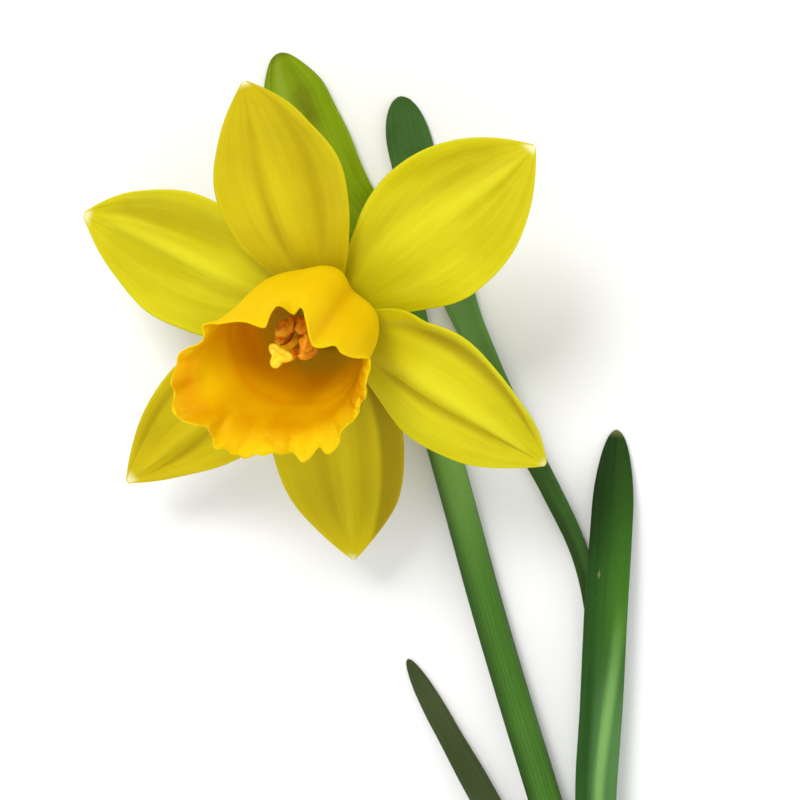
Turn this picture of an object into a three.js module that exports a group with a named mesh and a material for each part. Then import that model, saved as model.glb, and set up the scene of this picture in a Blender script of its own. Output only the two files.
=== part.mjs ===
// A trumpet daffodil, picked low with its leaves and laid on a table with its face up.
// Millimetres. +Z is up from the table and +Y runs from the cut end of the plant to the flower.
// The drawing is made around the middle of the flower, then moved so that the origin is
// under the middle of the whole plant.

import * as THREE from 'three';

// ---- driving dimensions -------------------------------------------------------------------

const FOOTPRINT_CENTRE = [4, -31.6];  // the middle of the plant, seen from the flower

// the flower's own frame: its origin is where the petals join, its +Z is the way it faces
const FLOWER_HEIGHT = 25;
const FACE_TILT = 30;                   // degrees away from straight up
const FACE_TOWARDS = 232;               // degrees from +X, the side the face leans to

const TUBE_LENGTH = 12.5;
const TUBE_WALL = 0.5;
// the tube's outer radius and its height, from its foot to the throat
const TUBE_PROFILE = [[1.9, -TUBE_LENGTH], [1.95, -8], [2.4, -4.5], [2.8, -1.75], [2.8, 1.9]];
const OVARY_LENGTH = 6.2;
// the ovary's radius and its height above its middle, from its foot up
const OVARY_PROFILE = [
  [0, -3.1], [1.25, -3.1], [2.1, -2.2], [2.5, -0.4], [2.4, 1.4], [1.9, 3.1], [0, 3.1],
];

const PETAL_THICKNESS = 0.6;
const PETAL_START = 3.0;                // how far from the axis a petal begins
const PETAL_BASE_SHARE = 0.3;           // its width there, against its widest
const PETAL_TIP_SHARE = 0.03;           // its width at the tip
const PETAL_OPENING_POWER = 1.25;       // how slowly it fills out from its foot
const PETAL_LAYER = { inner: 0.55, outer: -0.95 };
const PETAL_RIDGE = 0.3;                // how high the midrib stands
const PETAL_RIDGES = 1.3;               // waves from the midrib to an edge

const CORONA_START = 1.6;
const CORONA_FOOT_RADIUS = 3.6;
const CORONA_THICKNESS = 0.6;
const CORONA_FOOT_SHARE = 0.07;         // how soon the wall opens out, against its height
const CORONA_ASIDE = 0.8;               // how far the foot stands off to the side
// the lip is uneven: direction in degrees, distance from the axis and height, wherever it turns
const LIP = [
  [0, 10.6, 15.3], [7, 10.6, 15.5], [12, 9.6, 17], [22, 9, 18.9], [30, 8.7, 18.9],
  [36, 8, 20.6], [43, 7.5, 21], [52, 8, 20.6], [61, 9, 19.8], [72, 8.8, 17],
  [79, 7.2, 16.2], [92, 8.4, 16.9], [99, 7.6, 17.4], [107, 6.2, 18.3], [125, 8, 18.3],
  [143, 9.9, 18.1], [153, 11.7, 17.6], [161, 11, 18.9], [173, 13.8, 19.5], [187, 14.1, 19.8],
  [199, 15.3, 20], [205, 14.7, 20.5], [211, 12.3, 22.1], [216, 11.2, 21.8], [222, 13, 20.7],
  [231, 12.8, 21.6], [240, 12.8, 19.6], [252, 11.6, 19], [263, 11.4, 17.6], [276, 12.4, 16.9],
  [288, 11.5, 17.6], [300, 12, 16.7], [312, 10.4, 17.4], [323, 10.8, 15.5], [330, 10.3, 15.1],
  [338, 10.6, 15.6], [350, 10.1, 15],
];
// the wall below it, in the same way: direction and distance
const WALL = [[0, 8.7], [18, 9.1], [45, 8.1], [65, 9.4], [98, 8.2], [165, 9.5], [240, 8.4], [330, 8]];
const LIP_FADE = 6;                     // the lip's waves are evened out over twice this either way
const CORONA_COLUMNS = 60;
const LIP_TOWARDS = 262;                // the side whose lip turns out and is ruffled, in degrees
const LIP_STEEP_TOWARDS = 190;          // where the lip turns out lowest
const LIP_BENDS = [0.52, 0.8];          // the shares of the height at which it turns out
const LIP_FLATNESS = 14;                // how much the lip flattens before its rim
const RUFFLE = [0.2, 1.0];              // a ruffle's reach outwards and upwards
// the ruffles' directions and half widths, in degrees
const RUFFLES = [
  [186, 5], [201, 6], [214, 4], [243, 9], [262, 8], [279, 6], [297, 6], [315, 5], [330, 5], [350, 6],
];

const HEART_ASIDE = 1.65;               // how far the stamens and style lean to the side
const STAMEN_COUNT = 6;
const WHORL_STEP = 0.8;                 // every other stamen stands higher by twice this
const FILAMENT_RADIUS = 0.32;
const FILAMENT_RING = 1.75;             // the filaments' distance from the style
const FILAMENT_FOOT = -1.4;
const ANTHER_LENGTH = 5;
const ANTHER_WIDTH = [1.0, 1.5];        // across, from the style outwards and round it
const ANTHER_CENTRE = 9.4;
const ANTHER_RING = 2.05;
const STYLE_RADIUS = 0.5;
const STYLE_TOP = 13.4;
const STIGMA_RADIUS = 1.25;
const STIGMA_LOBES = 3;
const STIGMA_LOBE_DEPTH = 0.3;

const STEM_RADIUS = 2.3;
const STEM_FLATNESS = 0.96;
const PEDICEL_RADIUS = 1.3;
const NECK_HEIGHT = 3.3;                // the stem's axis above the table where the spathe holds it
const BUTT_HEIGHT = 4.85;               // the stem's axis above the table at the cut end

const SPATHE_THICKNESS = 0.5;
const SHEATH_LENGTH = 13;
const SHEATH_RADIUS = 4.45;
const SHEATH_THICKNESS = 0.8;
const LEAF_THICKNESS = 0.8;
const LEAF_NEST_RADIUS = 3.2;           // a leaf's distance from the stem's axis in the sheath

const GAP = 0.35;                       // left between neighbours that touch

// ---- materials ----------------------------------------------------------------------------

function finish(colour, roughness) {
  return new THREE.MeshStandardMaterial({ color: colour, roughness, metalness: 0 });
}

const PETAL = finish('#dccb1c', 0.5);
const CORONA = finish('#f0b408', 0.48);
const STEM = finish('#4c7a30', 0.42);
const LEAF = finish('#3f6e38', 0.4);
const LEAF_DULL = finish('#42502b', 0.5);
const SPATHE = finish('#7f8f14', 0.55);
const SHEATH = finish('#b9bd86', 0.6);
const TUBE = finish('#b5b81f', 0.5);
const FILAMENT = finish('#e3c33a', 0.5);
const ANTHER = finish('#c4640a', 0.8);
const STIGMA = finish('#dca41c', 0.6);

// ---- small helpers ------------------------------------------------------------------------

const rad = THREE.MathUtils.degToRad;
const lerp = THREE.MathUtils.lerp;
const clamp01 = (x) => THREE.MathUtils.clamp(x, 0, 1);
const vector = (x, y, z) => new THREE.Vector3(x, y, z);

function smooth(from, to, x) {
  return THREE.MathUtils.smoothstep(x, from, to);
}

// a value that runs through evenly spaced keys as s goes from 0 to 1
function keyed(keys, s) {
  const place = clamp01(s) * (keys.length - 1);
  const first = Math.min(Math.floor(place), keys.length - 2);
  return lerp(keys[first], keys[first + 1], smooth(0, 1, place - first));
}

// a smooth curve through one column of the points, which go once round and start at 0 degrees
function around(points, column, t) {
  const degrees = (t - Math.floor(t)) * 360;
  const point = (k) => {
    const laps = Math.floor(k / points.length);
    const found = points[k - laps * points.length];
    return [found[0] + 360 * laps, found[column]];
  };
  const first = points.filter(([from]) => from <= degrees).length - 1;
  const [before, here, then, after] = [-1, 0, 1, 2].map((k) => point(first + k));
  const step = then[0] - here[0];
  const start = (then[1] - before[1]) / (then[0] - before[0]) * step;
  const end = (after[1] - here[1]) / (after[0] - here[0]) * step;
  const f = (degrees - here[0]) / step;
  const rise = then[1] - here[1];
  return here[1] + f * (start + f * (3 * rise - 2 * start - end + f * (start + end - 2 * rise)));
}

// A closed body of a given thickness on a surface(s, t). t runs from -1 to 1, or once round
// from 0 to 1 where the surface wraps on to itself.
function sheet(surface, rows, columns, thickness, wraps = false) {
  const perRow = wraps ? columns : columns + 1;
  const perFace = (rows + 1) * perRow;
  const step = 1e-3;
  const positions = [];
  for (const face of [0.5, -0.5]) {
    for (let i = 0; i <= rows; i++) {
      for (let j = 0; j < perRow; j++) {
        const s = i / rows;
        const t = wraps ? j / columns : (2 * j) / columns - 1;
        const along = surface(Math.min(s + step, 1), t).sub(surface(Math.max(s - step, 0), t));
        const across = surface(s, t + step).sub(surface(s, t - step));
        const outward = along.cross(across).normalize();
        const point = surface(s, t).addScaledVector(outward, face * thickness);
        positions.push(point.x, point.y, point.z);
      }
    }
  }
  const index = [];
  const front = (i, j) => i * perRow + (j % perRow);
  const back = (i, j) => perFace + front(i, j);
  const quad = (a, b, c, d) => index.push(a, b, c, a, c, d);
  for (let j = 0; j < columns; j++) {
    for (let i = 0; i < rows; i++) {
      quad(front(i, j), front(i + 1, j), front(i + 1, j + 1), front(i, j + 1));
      quad(back(i, j), back(i, j + 1), back(i + 1, j + 1), back(i + 1, j));
    }
    quad(front(0, j), front(0, j + 1), back(0, j + 1), back(0, j));
    quad(front(rows, j), back(rows, j), back(rows, j + 1), front(rows, j + 1));
  }
  for (let i = 0; i < rows && !wraps; i++) {
    quad(front(i, 0), back(i, 0), back(i + 1, 0), front(i + 1, 0));
    quad(front(i, columns), front(i + 1, columns), back(i + 1, columns), back(i, columns));
  }
  const geometry = new THREE.BufferGeometry();
  geometry.setAttribute('position', new THREE.Float32BufferAttribute(positions, 3));
  geometry.setIndex(index);
  geometry.computeVertexNormals();
  return geometry;
}

// a solid rod of an oval section along a smooth path
function rod(path, width, height, steps, sides) {
  const section = new THREE.Shape();
  section.absellipse(0, 0, height, width, 0, Math.PI * 2);
  return new THREE.ExtrudeGeometry(section, {
    steps,
    curveSegments: sides,
    extrudePath: path,
    bevelEnabled: false,
  });
}

function mesh(name, geometry, material) {
  const piece = new THREE.Mesh(geometry, material);
  piece.name = name;
  return piece;
}

// ---- petals -------------------------------------------------------------------------------

// How wide a petal is along its length, against its widest: narrow where it joins, full in the
// middle, and a blunt point.
function petalOutline(s, widest, fullness) {
  if (s < widest) {
    const opening = Math.sin((Math.PI / 2) * (s / widest)) ** PETAL_OPENING_POWER;
    return lerp(PETAL_BASE_SHARE, 1, opening);
  }
  return 1 - (1 - PETAL_TIP_SHARE) * ((s - widest) / (1 - widest)) ** fullness;
}

// One petal, seen along +X from the flower's axis, with its sides towards +Y and -Y:
//   fullness     how wide it stays on the way to the tip
//   rise, bend   how its midrib climbs, straight and then curving, against its length
//   sweep        how far the tip bends sideways
//   cup          how far its sides lift
//   curl         how far one edge rolls up, on the +Y or the -Y side
function petalSurface(shape) {
  const { layer, length, sides, widest, fullness, rise, bend, sweep, cup, twist, curl } = shape;
  return (s, t) => {
    const side = t > 0 ? 1 : 0;
    const half = sides[side] * petalOutline(s, widest[side], fullness);
    const fade = smooth(0.08, 0.3, s) * (1 - smooth(0.75, 1, s));
    const rolled = curl[side] * half * smooth(0.6, 1, Math.abs(t)) * fade;
    const wave = Math.cos(2 * Math.PI * PETAL_RIDGES * t) * (1 - Math.abs(t));
    const ridge = PETAL_RIDGE * fade * wave;
    const y = half * t - Math.sign(t) * rolled * 0.6;
    const z = cup * half * t * t * smooth(0, 0.5, s) + rolled + ridge;
    const turn = rad(twist) * s;
    return vector(
      PETAL_START + length * s,
      sweep * length * s * s + y * Math.cos(turn) - z * Math.sin(turn),
      PETAL_LAYER[layer] + length * (rise * s + bend * s * s)
        + y * Math.sin(turn) + z * Math.cos(turn),
    );
  };
}

const PETALS = {
  inner_petal_top: {
    layer: 'inner', azimuth: 108.5, length: 29.5, sides: [11.3, 8.4], widest: [0.53, 0.5],
    fullness: 2.1, rise: 0.06, bend: -0.18, sweep: 0, cup: 0.1, twist: 0, curl: [0.1, 0.03],
  },
  inner_petal_right: {
    layer: 'inner', azimuth: 330, length: 30.8, sides: [7.8, 12.7], widest: [0.5, 0.46],
    fullness: 1.95, rise: 0.06, bend: -0.06, sweep: -0.06, cup: 0.12, twist: 4, curl: [0.05, 0.22],
  },
  inner_petal_left: {
    layer: 'inner', azimuth: 219, length: 34.2, sides: [8.9, 8], widest: [0.46, 0.38],
    fullness: 1.8, rise: 0.1, bend: 0.04, sweep: 0, cup: 0.12, twist: 0, curl: [0.15, 0.1],
  },
  outer_petal_right: {
    layer: 'outer', azimuth: 37.5, length: 31.4, sides: [9.1, 10.4], widest: [0.5, 0.52],
    fullness: 2.4, rise: -0.12, bend: -0.1, sweep: 0.04, cup: 0.12, twist: 0, curl: [0.02, 0.08],
  },
  outer_petal_left: {
    layer: 'outer', azimuth: 160, length: 33.5, sides: [9.6, 10.4], widest: [0.48, 0.46],
    fullness: 2.35, rise: -0.08, bend: 0.04, sweep: 0.02, cup: 0.1, twist: 0, curl: [0.05, 0.02],
  },
  outer_petal_bottom: {
    layer: 'outer', azimuth: 271, length: 32.1, sides: [10.6, 6.4], widest: [0.4, 0.48],
    fullness: 2.55, rise: -0.08, bend: 0.1, sweep: 0, cup: 0.08, twist: 0, curl: [0.02, -0.3],
  },
};

function petals() {
  return Object.entries(PETALS).map(([name, shape]) => {
    const petal = mesh(name, sheet(petalSurface(shape), 12, 10, PETAL_THICKNESS), PETAL);
    petal.rotation.z = rad(shape.azimuth);
    return petal;
  });
}

// ---- corona -------------------------------------------------------------------------------

// The side that the corona's foot and the stamens stand off to.
const ASIDE_TOWARDS = rad(FACE_TOWARDS - 90);

// 0 up to start, then a straight climb to 1
function bendAt(start, s) {
  const climb = (x) => Math.hypot(x - start, 0.02) + x - start;
  return climb(s) / climb(1);
}

// the lip's narrow notches fade below the rim, where only its broad waves are left
function lipAt(column, s, t) {
  const broad = [1, 2, 3, 2, 1].reduce(
    (sum, weight, i) => sum + weight * around(LIP, column, t + (i - 2) * LIP_FADE / 360), 0) / 9;
  return lerp(broad, around(LIP, column, t), smooth(0.62, 1, s) ** 1.5);
}

// The trumpet's wall. It opens out at once from a narrow foot and runs nearly straight. The upper
// part of it flares gently; the lower part turns out in two steps to a flat, ruffled lip.
function coronaSurface(s, t) {
  const angle = t * Math.PI * 2;
  const low = smooth(-0.75, 0.2, Math.cos(angle - rad(LIP_TOWARDS)));
  const steep = smooth(0.2, 0.9, Math.cos(angle - rad(LIP_STEEP_TOWARDS)));
  const lip = lerp(bendAt(LIP_BENDS[1], s), bendAt(LIP_BENDS[0], s), 0.58 + 0.3 * steep);
  const flare = lerp(s ** 3, lip, low);
  const foot = 1 - Math.exp(-s / CORONA_FOOT_SHARE);
  const straight = around(WALL, 1, t);
  const bumps = RUFFLES.reduce(
    (sum, [at, wide]) => sum + Math.exp(-(((angle / rad(1) - at) / wide) ** 2)), 0);
  const ruffle = (bumps - 0.45) * smooth(0.72, 1, s) ** 1.3 * low;
  const radius = lerp(CORONA_FOOT_RADIUS, straight, foot)
    + (lipAt(1, s, t) - straight) * flare + RUFFLE[0] * ruffle;
  const aside = CORONA_ASIDE * (1 - s) * foot;
  return vector(
    radius * Math.cos(angle) + aside * Math.cos(ASIDE_TOWARDS),
    radius * Math.sin(angle) + aside * Math.sin(ASIDE_TOWARDS),
    lerp(CORONA_START, lipAt(2, s, t), s)
      + low * LIP_FLATNESS * s ** 4 * (1 - s) + RUFFLE[1] * ruffle,
  );
}

function corona() {
  return mesh('corona', sheet(coronaSurface, 12, CORONA_COLUMNS, CORONA_THICKNESS, true), CORONA);
}

// ---- stamens and pistil -------------------------------------------------------------------

// The stamens and the style stand together, a little to one side of the flower's axis.
function heart(radius, angle, height) {
  const aside = HEART_ASIDE * smooth(-2, 12, height);
  return vector(
    radius * Math.cos(angle) + aside * Math.cos(ASIDE_TOWARDS),
    radius * Math.sin(angle) + aside * Math.sin(ASIDE_TOWARDS),
    height,
  );
}

function stamen(number) {
  const angle = ((number - 1) / STAMEN_COUNT) * Math.PI * 2;
  const middle = ANTHER_CENTRE + (number % 2 ? WHORL_STEP : -WHORL_STEP);
  const path = new THREE.CatmullRomCurve3([
    heart(FILAMENT_RING, angle, FILAMENT_FOOT),
    heart(FILAMENT_RING - 0.1, angle, 2),
    heart(FILAMENT_RING, angle, middle - ANTHER_LENGTH / 2 - GAP),
  ]);
  const stalk = rod(path, FILAMENT_RADIUS, FILAMENT_RADIUS, 6, 3);
  const filament = mesh(`filament_${number}`, stalk, FILAMENT);
  const pollen = new THREE.SphereGeometry(0.5, 8, 8);
  pollen.rotateX(Math.PI / 2);
  pollen.scale(ANTHER_WIDTH[0], ANTHER_WIDTH[1], ANTHER_LENGTH);
  pollen.rotateZ(angle);
  const anther = mesh(`anther_${number}`, pollen, ANTHER);
  anther.position.copy(heart(ANTHER_RING, angle, middle));
  return [filament, anther];
}

function style() {
  const path = new THREE.CatmullRomCurve3([
    heart(0, 0, GAP - TUBE_LENGTH),
    heart(0, 0, -5),
    heart(0, 0, 4),
    heart(0, 0, STYLE_TOP),
  ]);
  return mesh('style', rod(path, STYLE_RADIUS, STYLE_RADIUS, 10, 4), STIGMA);
}

// three blunt lobes on a short cone
function stigma() {
  const ball = new THREE.SphereGeometry(1, 18, 8);
  ball.rotateX(Math.PI / 2);
  const corners = ball.attributes.position;
  for (let i = 0; i < corners.count; i++) {
    const point = vector(corners.getX(i), corners.getY(i), corners.getZ(i));
    const angle = Math.atan2(point.y, point.x);
    const lobe = 1 + STIGMA_LOBE_DEPTH * Math.cos(STIGMA_LOBES * angle);
    const spread = STIGMA_RADIUS * lobe * lerp(0.55, 1.1, (point.z + 1) / 2);
    corners.setXYZ(i, point.x * spread, point.y * spread, point.z * STIGMA_RADIUS);
  }
  const piece = mesh('stigma', ball, STIGMA);
  piece.position.copy(heart(0, 0, STYLE_TOP + GAP + STIGMA_RADIUS));
  return piece;
}

// ---- tube and ovary -----------------------------------------------------------------------

function floralTube() {
  const outside = TUBE_PROFILE.map(([radius, height]) => new THREE.Vector2(radius, height));
  const inside = outside.map((point) => new THREE.Vector2(point.x - TUBE_WALL, point.y)).reverse();
  const profile = [...outside, ...inside, outside[0]];
  const turned = new THREE.LatheGeometry(profile, 18);
  turned.rotateX(Math.PI / 2);
  return mesh('floral_tube', turned, TUBE);
}

function ovary() {
  const profile = OVARY_PROFILE.map(([radius, height]) => new THREE.Vector2(radius, height));
  const turned = new THREE.LatheGeometry(profile, 16);
  turned.rotateX(Math.PI / 2);
  const piece = mesh('ovary', turned, STEM);
  piece.position.z = -TUBE_LENGTH - GAP - OVARY_LENGTH / 2;
  return piece;
}

function flower() {
  const group = new THREE.Group();
  const tilt = rad(FACE_TILT);
  const lean = rad(FACE_TOWARDS);
  const facing = vector(
    Math.sin(tilt) * Math.cos(lean),
    Math.sin(tilt) * Math.sin(lean),
    Math.cos(tilt),
  );
  group.position.z = FLOWER_HEIGHT;
  group.quaternion.setFromUnitVectors(vector(0, 0, 1), facing);
  const stamens = Array.from({ length: STAMEN_COUNT }, (_, i) => stamen(i + 1)).flat();
  group.add(...petals(), corona(), ...stamens, style(), stigma(), floralTube(), ovary());
  return group;
}

// ---- stem, pedicel and spathe -------------------------------------------------------------

const STEM_PATH = [
  [36.1, -100, BUTT_HEIGHT], [34.6, -88, BUTT_HEIGHT], [32.0, -76, 4.4], [28.8, -65, 3.7],
  [24.8, -52, 2.8], [20.7, -38, STEM_RADIUS], [16.9, -24, STEM_RADIUS],
  [13.3, -11, STEM_RADIUS], [10.9, -1, 2.7], [9.8, 4.2, NECK_HEIGHT],
].map((point) => vector(...point));

function stem() {
  const path = new THREE.CatmullRomCurve3(STEM_PATH);
  return mesh('stem', rod(path, STEM_RADIUS, STEM_RADIUS * STEM_FLATNESS, 30, 6), STEM);
}

// the flower's own stalk: out of the neck, then over in a tight crook to the ovary's foot
function pedicel() {
  const path = new THREE.CatmullRomCurve3([
    vector(9.7, 4.6, 3.4), vector(9.1, 7.1, 3.9), vector(8.0, 8.8, 5.2),
    vector(6.6, 8.45, 6.9), vector(5.97, 7.65, 8.2),
  ]);
  return mesh('pedicel', rod(path, PEDICEL_RADIUS, PEDICEL_RADIUS, 10, 5), STEM);
}

// A leaf lies along its midrib's path, hollow side up. Its keys, from foot to tip:
//   widths   across the flat leaf          fold   half the angle that its section bends through
//   roll     the section turned about the midrib
// The last stretch, as long as point, rounds off to the tip.
function leafSurface({ path, widths, fold, roll, point }) {
  const places = path.map((place) => vector(...place));
  const midrib = new THREE.CatmullRomCurve3(places, false, 'centripetal');
  const length = midrib.getLength();
  return (s, t) => {
    const along = midrib.getTangentAt(s);
    const side = along.clone().cross(vector(0, 0, 1)).normalize();
    const up = side.clone().cross(along);
    const half = rad(keyed(fold, s));
    const shy = clamp01(1 - (length * (1 - s)) / point);
    const tip = lerp(1, 0.08, 1 - Math.sqrt(1 - shy * shy));
    const bendRadius = (tip * keyed(widths, s)) / 2 / half;
    const turn = rad(keyed(roll, s));
    const x = bendRadius * Math.sin(half * t);
    const y = bendRadius * (1 - Math.cos(half * t));
    return midrib.getPointAt(s)
      .addScaledVector(side, -(x * Math.cos(turn) - y * Math.sin(turn)))
      .addScaledVector(up, x * Math.sin(turn) + y * Math.cos(turn));
  };
}

const LOW = LEAF_THICKNESS / 2;         // a midrib that rests on the table
const NEST = LEAF_NEST_RADIUS;

const LEAVES = {
  leaf_right: {
    path: [
      [36.1 + NEST, -100, BUTT_HEIGHT], [34.6 + NEST, -88, BUTT_HEIGHT], [36.8, -77, 5],
      [35.9, -65, 4.8], [36.6, -52, 4.4], [37.3, -38, 4.2], [38, -29, 3.0], [38.6, -21, 1.2],
      [39, -14.9, LOW],
    ],
    widths: [4.2, 4.2, 5, 5.7, 5.9, 6, 6, 5.8, 5.4],
    fold: [40, 40, 36, 32, 26, 26, 24, 24, 20],
    roll: [-90, -90, -60, -12, 0, 0, 0, 0, 0],
    point: 12,
    rows: 26,
    material: LEAF,
  },
  leaf_back: {
    path: [
      [36.1, -100, BUTT_HEIGHT - NEST], [34.9, -88, BUTT_HEIGHT - NEST], [35.8, -77, 1.0],
      [36.6, -65, 0.7], [36.6, -52, 0.7], [36.1, -41, 0.7], [34, -32, 0.8], [29.9, -23, 1.2],
      [23.3, -10.7, 1.4], [17.9, 1.7, 1.1], [12.8, 16, 0.7], [10.6, 24, LOW], [9.1, 31.1, LOW],
    ],
    widths: [4.2, 4.2, 4.2, 4, 3.6, 2.8, 2.5, 2.9, 3.8, 4, 5.6, 6.4, 6.2],
    fold: [40, 40, 30, 20, 20, 20, 25, 25, 25, 25, 24, 22, 20],
    roll: [0, 0, 0, 0, 0, 0, -10, -20, -14, -6, 0, 0, 0],
    point: 7,
    rows: 36,
    material: LEAF,
  },
  leaf_left: {
    path: [
      [36.1 - NEST, -100, BUTT_HEIGHT], [34.6 - NEST, -88, BUTT_HEIGHT], [26.9, -77, 4.4],
      [20.7, -65.4, 2.6], [17, -58.8, 1.6], [13.2, -52, 0.8], [10.2, -46.5, LOW],
    ],
    widths: [4.2, 4.2, 4.4, 4.2, 3.8, 3.2, 2.2],
    fold: [40, 40, 36, 30, 28, 26, 20],
    roll: [90, 90, 50, 14, 6, 0, 0],
    point: 5,
    rows: 18,
    material: LEAF_DULL,
  },
};

function leaves() {
  return Object.entries(LEAVES).map(([name, shape]) =>
    mesh(name, sheet(leafSurface(shape), shape.rows, 6, LEAF_THICKNESS), shape.material));
}

// a papery bract, round the foot of the pedicel and then open, out under the flower
function spathe() {
  const low = SPATHE_THICKNESS / 2;
  const surface = leafSurface({
    path: [
      [10, 3.2, low], [9.1, 7.5, low], [6, 12, low], [1.2, 17.5, low], [-2, 24, low],
      [-4.9, 30, low], [-7.7, 37.1, low],
    ],
    widths: [9, 9.2, 9, 9.3, 9.7, 9.4, 7.2],
    fold: [88, 84, 60, 40, 32, 30, 24],
    roll: [0, 0],
    point: 8,
  });
  return mesh('spathe', sheet(surface, 16, 10, SPATHE_THICKNESS), SPATHE);
}

// the pale skin that holds the leaves' feet round the stem
function basalSheath() {
  const foot = STEM_PATH[0];
  const mouth = STEM_PATH[1];
  const along = mouth.clone().sub(foot).normalize();
  const side = vector(0, 0, 1).cross(along).normalize();
  const up = along.clone().cross(side);
  const surface = (s, t) => {
    const angle = t * Math.PI * 2;
    return foot.clone()
      .addScaledVector(along, SHEATH_LENGTH * s)
      .addScaledVector(side, SHEATH_RADIUS * Math.cos(angle))
      .addScaledVector(up, SHEATH_RADIUS * Math.sin(angle));
  };
  return mesh('basal_sheath', sheet(surface, 4, 20, SHEATH_THICKNESS, true), SHEATH);
}

// ---- the whole plant ----------------------------------------------------------------------

const daffodil = new THREE.Group();
daffodil.add(flower(), stem(), pedicel(), spathe(), ...leaves(), basalSheath());
daffodil.position.set(-FOOTPRINT_CENTRE[0], -FOOTPRINT_CENTRE[1], 0);

export default daffodil;
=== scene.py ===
# %% [markdown]
# # A trumpet daffodil, lying face up
#
# The flower has six petals in two rings of three, a frilled trumpet (the corona) with six stamens
# and a three-lobed stigma in it, and behind them a tube, an ovary and a short bent stalk that
# comes out of a papery bract. A long stem and three strap leaves meet in a pale skin at the cut end.
#
# The solids made in CAD are loaded first as a fixed frame. Each of them then gets a finer surface
# of the same size in the same place. Pieces are made in millimetres, and each finished mesh is
# moved into the frame, in metres, as its last step. Camera, lamps and finishes work in metres.

# %% The frame
from math import cos, pi, radians, sin, tau

import bpy
import numpy as np
from mathutils import Matrix, Vector


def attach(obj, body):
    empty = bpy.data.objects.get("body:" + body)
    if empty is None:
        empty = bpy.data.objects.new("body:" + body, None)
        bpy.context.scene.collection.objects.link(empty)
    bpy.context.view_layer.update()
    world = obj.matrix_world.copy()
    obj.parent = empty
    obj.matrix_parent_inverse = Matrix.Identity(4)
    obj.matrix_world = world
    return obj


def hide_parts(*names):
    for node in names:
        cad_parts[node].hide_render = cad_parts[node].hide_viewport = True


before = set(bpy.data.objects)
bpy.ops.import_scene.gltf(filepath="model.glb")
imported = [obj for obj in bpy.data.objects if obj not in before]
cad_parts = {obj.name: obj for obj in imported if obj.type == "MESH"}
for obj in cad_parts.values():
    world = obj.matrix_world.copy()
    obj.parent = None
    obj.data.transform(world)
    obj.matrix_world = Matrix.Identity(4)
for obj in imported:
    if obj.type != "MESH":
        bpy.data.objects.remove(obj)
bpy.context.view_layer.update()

FOOTPRINT_CENTRE = (4, -31.6)
FLOWER_HEIGHT, FACE_TILT, FACE_TOWARDS = 25, radians(30), radians(232)
facing = Matrix.Rotation(FACE_TOWARDS, 3, "Z") @ Vector((sin(FACE_TILT), 0, cos(FACE_TILT)))

ON_TABLE = Matrix.Scale(0.001, 4) @ Matrix.Translation((-FOOTPRINT_CENTRE[0], -FOOTPRINT_CENTRE[1], 0))
IN_FLOWER = (ON_TABLE @ Matrix.Translation((0, 0, FLOWER_HEIGHT))
             @ Vector((0, 0, 1)).rotation_difference(facing).to_matrix().to_4x4())
print("middle of the flower, mm:", [round(v * 1000, 1) for v in IN_FLOWER.translation])

# %% [markdown]
# ## Camera and light
#
# The camera looks straight down on the plant, which lies on a pale table. A flower in soft daylight
# has one broad bright side and a gentle fill, so a large area lamp stands beyond the flower and
# a bright sky fills in. The lamp throws the trumpet's soft shadow on to the petals below it.

# %% Camera and light
CAMERA_PLACE, LENS, NEAREST = (0.0051, 0.02094, 0.425), 138.5, 0.01
SKY_STRENGTH = 0.68
LAMPS = [  # name, direction, distance, width, power and colour
    ("window", (-0.35, 0.5, 1.0), 0.9, 0.3, 3.8, (1, 0.995, 0.98)),
    ("fill", (-0.2, -0.4, 1.0), 1.2, 1.0, 3.0, (0.97, 0.99, 1)),
    ("side", (1.0, -0.3, 0.5), 1.0, 0.6, 1.4, (1, 1, 1))]

scene = bpy.context.scene
scene.view_settings.view_transform = "Standard"


def put(name, data):
    obj = bpy.data.objects.new(name, data)
    scene.collection.objects.link(obj)
    return obj


scene.camera = put("camera", bpy.data.cameras.new("camera"))
scene.camera.data.lens, scene.camera.data.clip_start = LENS, NEAREST
scene.camera.location = CAMERA_PLACE

for name, direction, distance, width, power, colour in LAMPS:
    lamp = put(name, bpy.data.lights.new(name, "AREA"))
    lamp.data.size, lamp.data.energy, lamp.data.color = width, power, colour
    lamp.location = Vector(direction).normalized() * distance
    lamp.rotation_euler = Vector(direction).to_track_quat("Z", "Y").to_euler()

scene.world = bpy.data.worlds.new("sky")
scene.world.use_nodes = True
sky = scene.world.node_tree.nodes["Background"].inputs
sky["Color"].default_value, sky["Strength"].default_value = (1, 1, 1, 1), SKY_STRENGTH
print("lamps:", [lamp[0] for lamp in LAMPS])

# %% [markdown]
# ## Writing a rule in nodes
#
# A petal's shape and a petal's colour are both rules: numbers that change over a surface. Node trees
# can hold such rules, but a page of node calls is hard to read. A Field is a socket of a tree
# that knows arithmetic, so that a rule in nodes reads like the same rule on paper. Geometry trees and
# shader trees share their maths nodes, so one class serves both.

# %% Fields: arithmetic on sockets
class Field:
    """A value that varies over a surface: one output socket of a node tree."""

    def __init__(self, socket):
        self.socket, self.tree = socket, socket.id_data

    def __add__(self, other): return calc("ADD", self, other)
    def __sub__(self, other): return calc("SUBTRACT", self, other)
    def __rsub__(self, other): return calc("SUBTRACT", other, self)
    def __mul__(self, other): return calc("MULTIPLY", self, other)
    def __truediv__(self, other): return calc("DIVIDE", self, other)
    def __rtruediv__(self, other): return calc("DIVIDE", other, self)
    def __pow__(self, other): return calc("POWER", self, other)
    def __neg__(self): return calc("MULTIPLY", self, -1)
    __radd__, __rmul__ = __add__, __mul__


def feed(port, value):
    """Links a field to an input, or sets the input to a plain value."""
    if isinstance(value, Field):
        value.tree.links.new(value.socket, port)
    else:
        port.default_value = value


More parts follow.
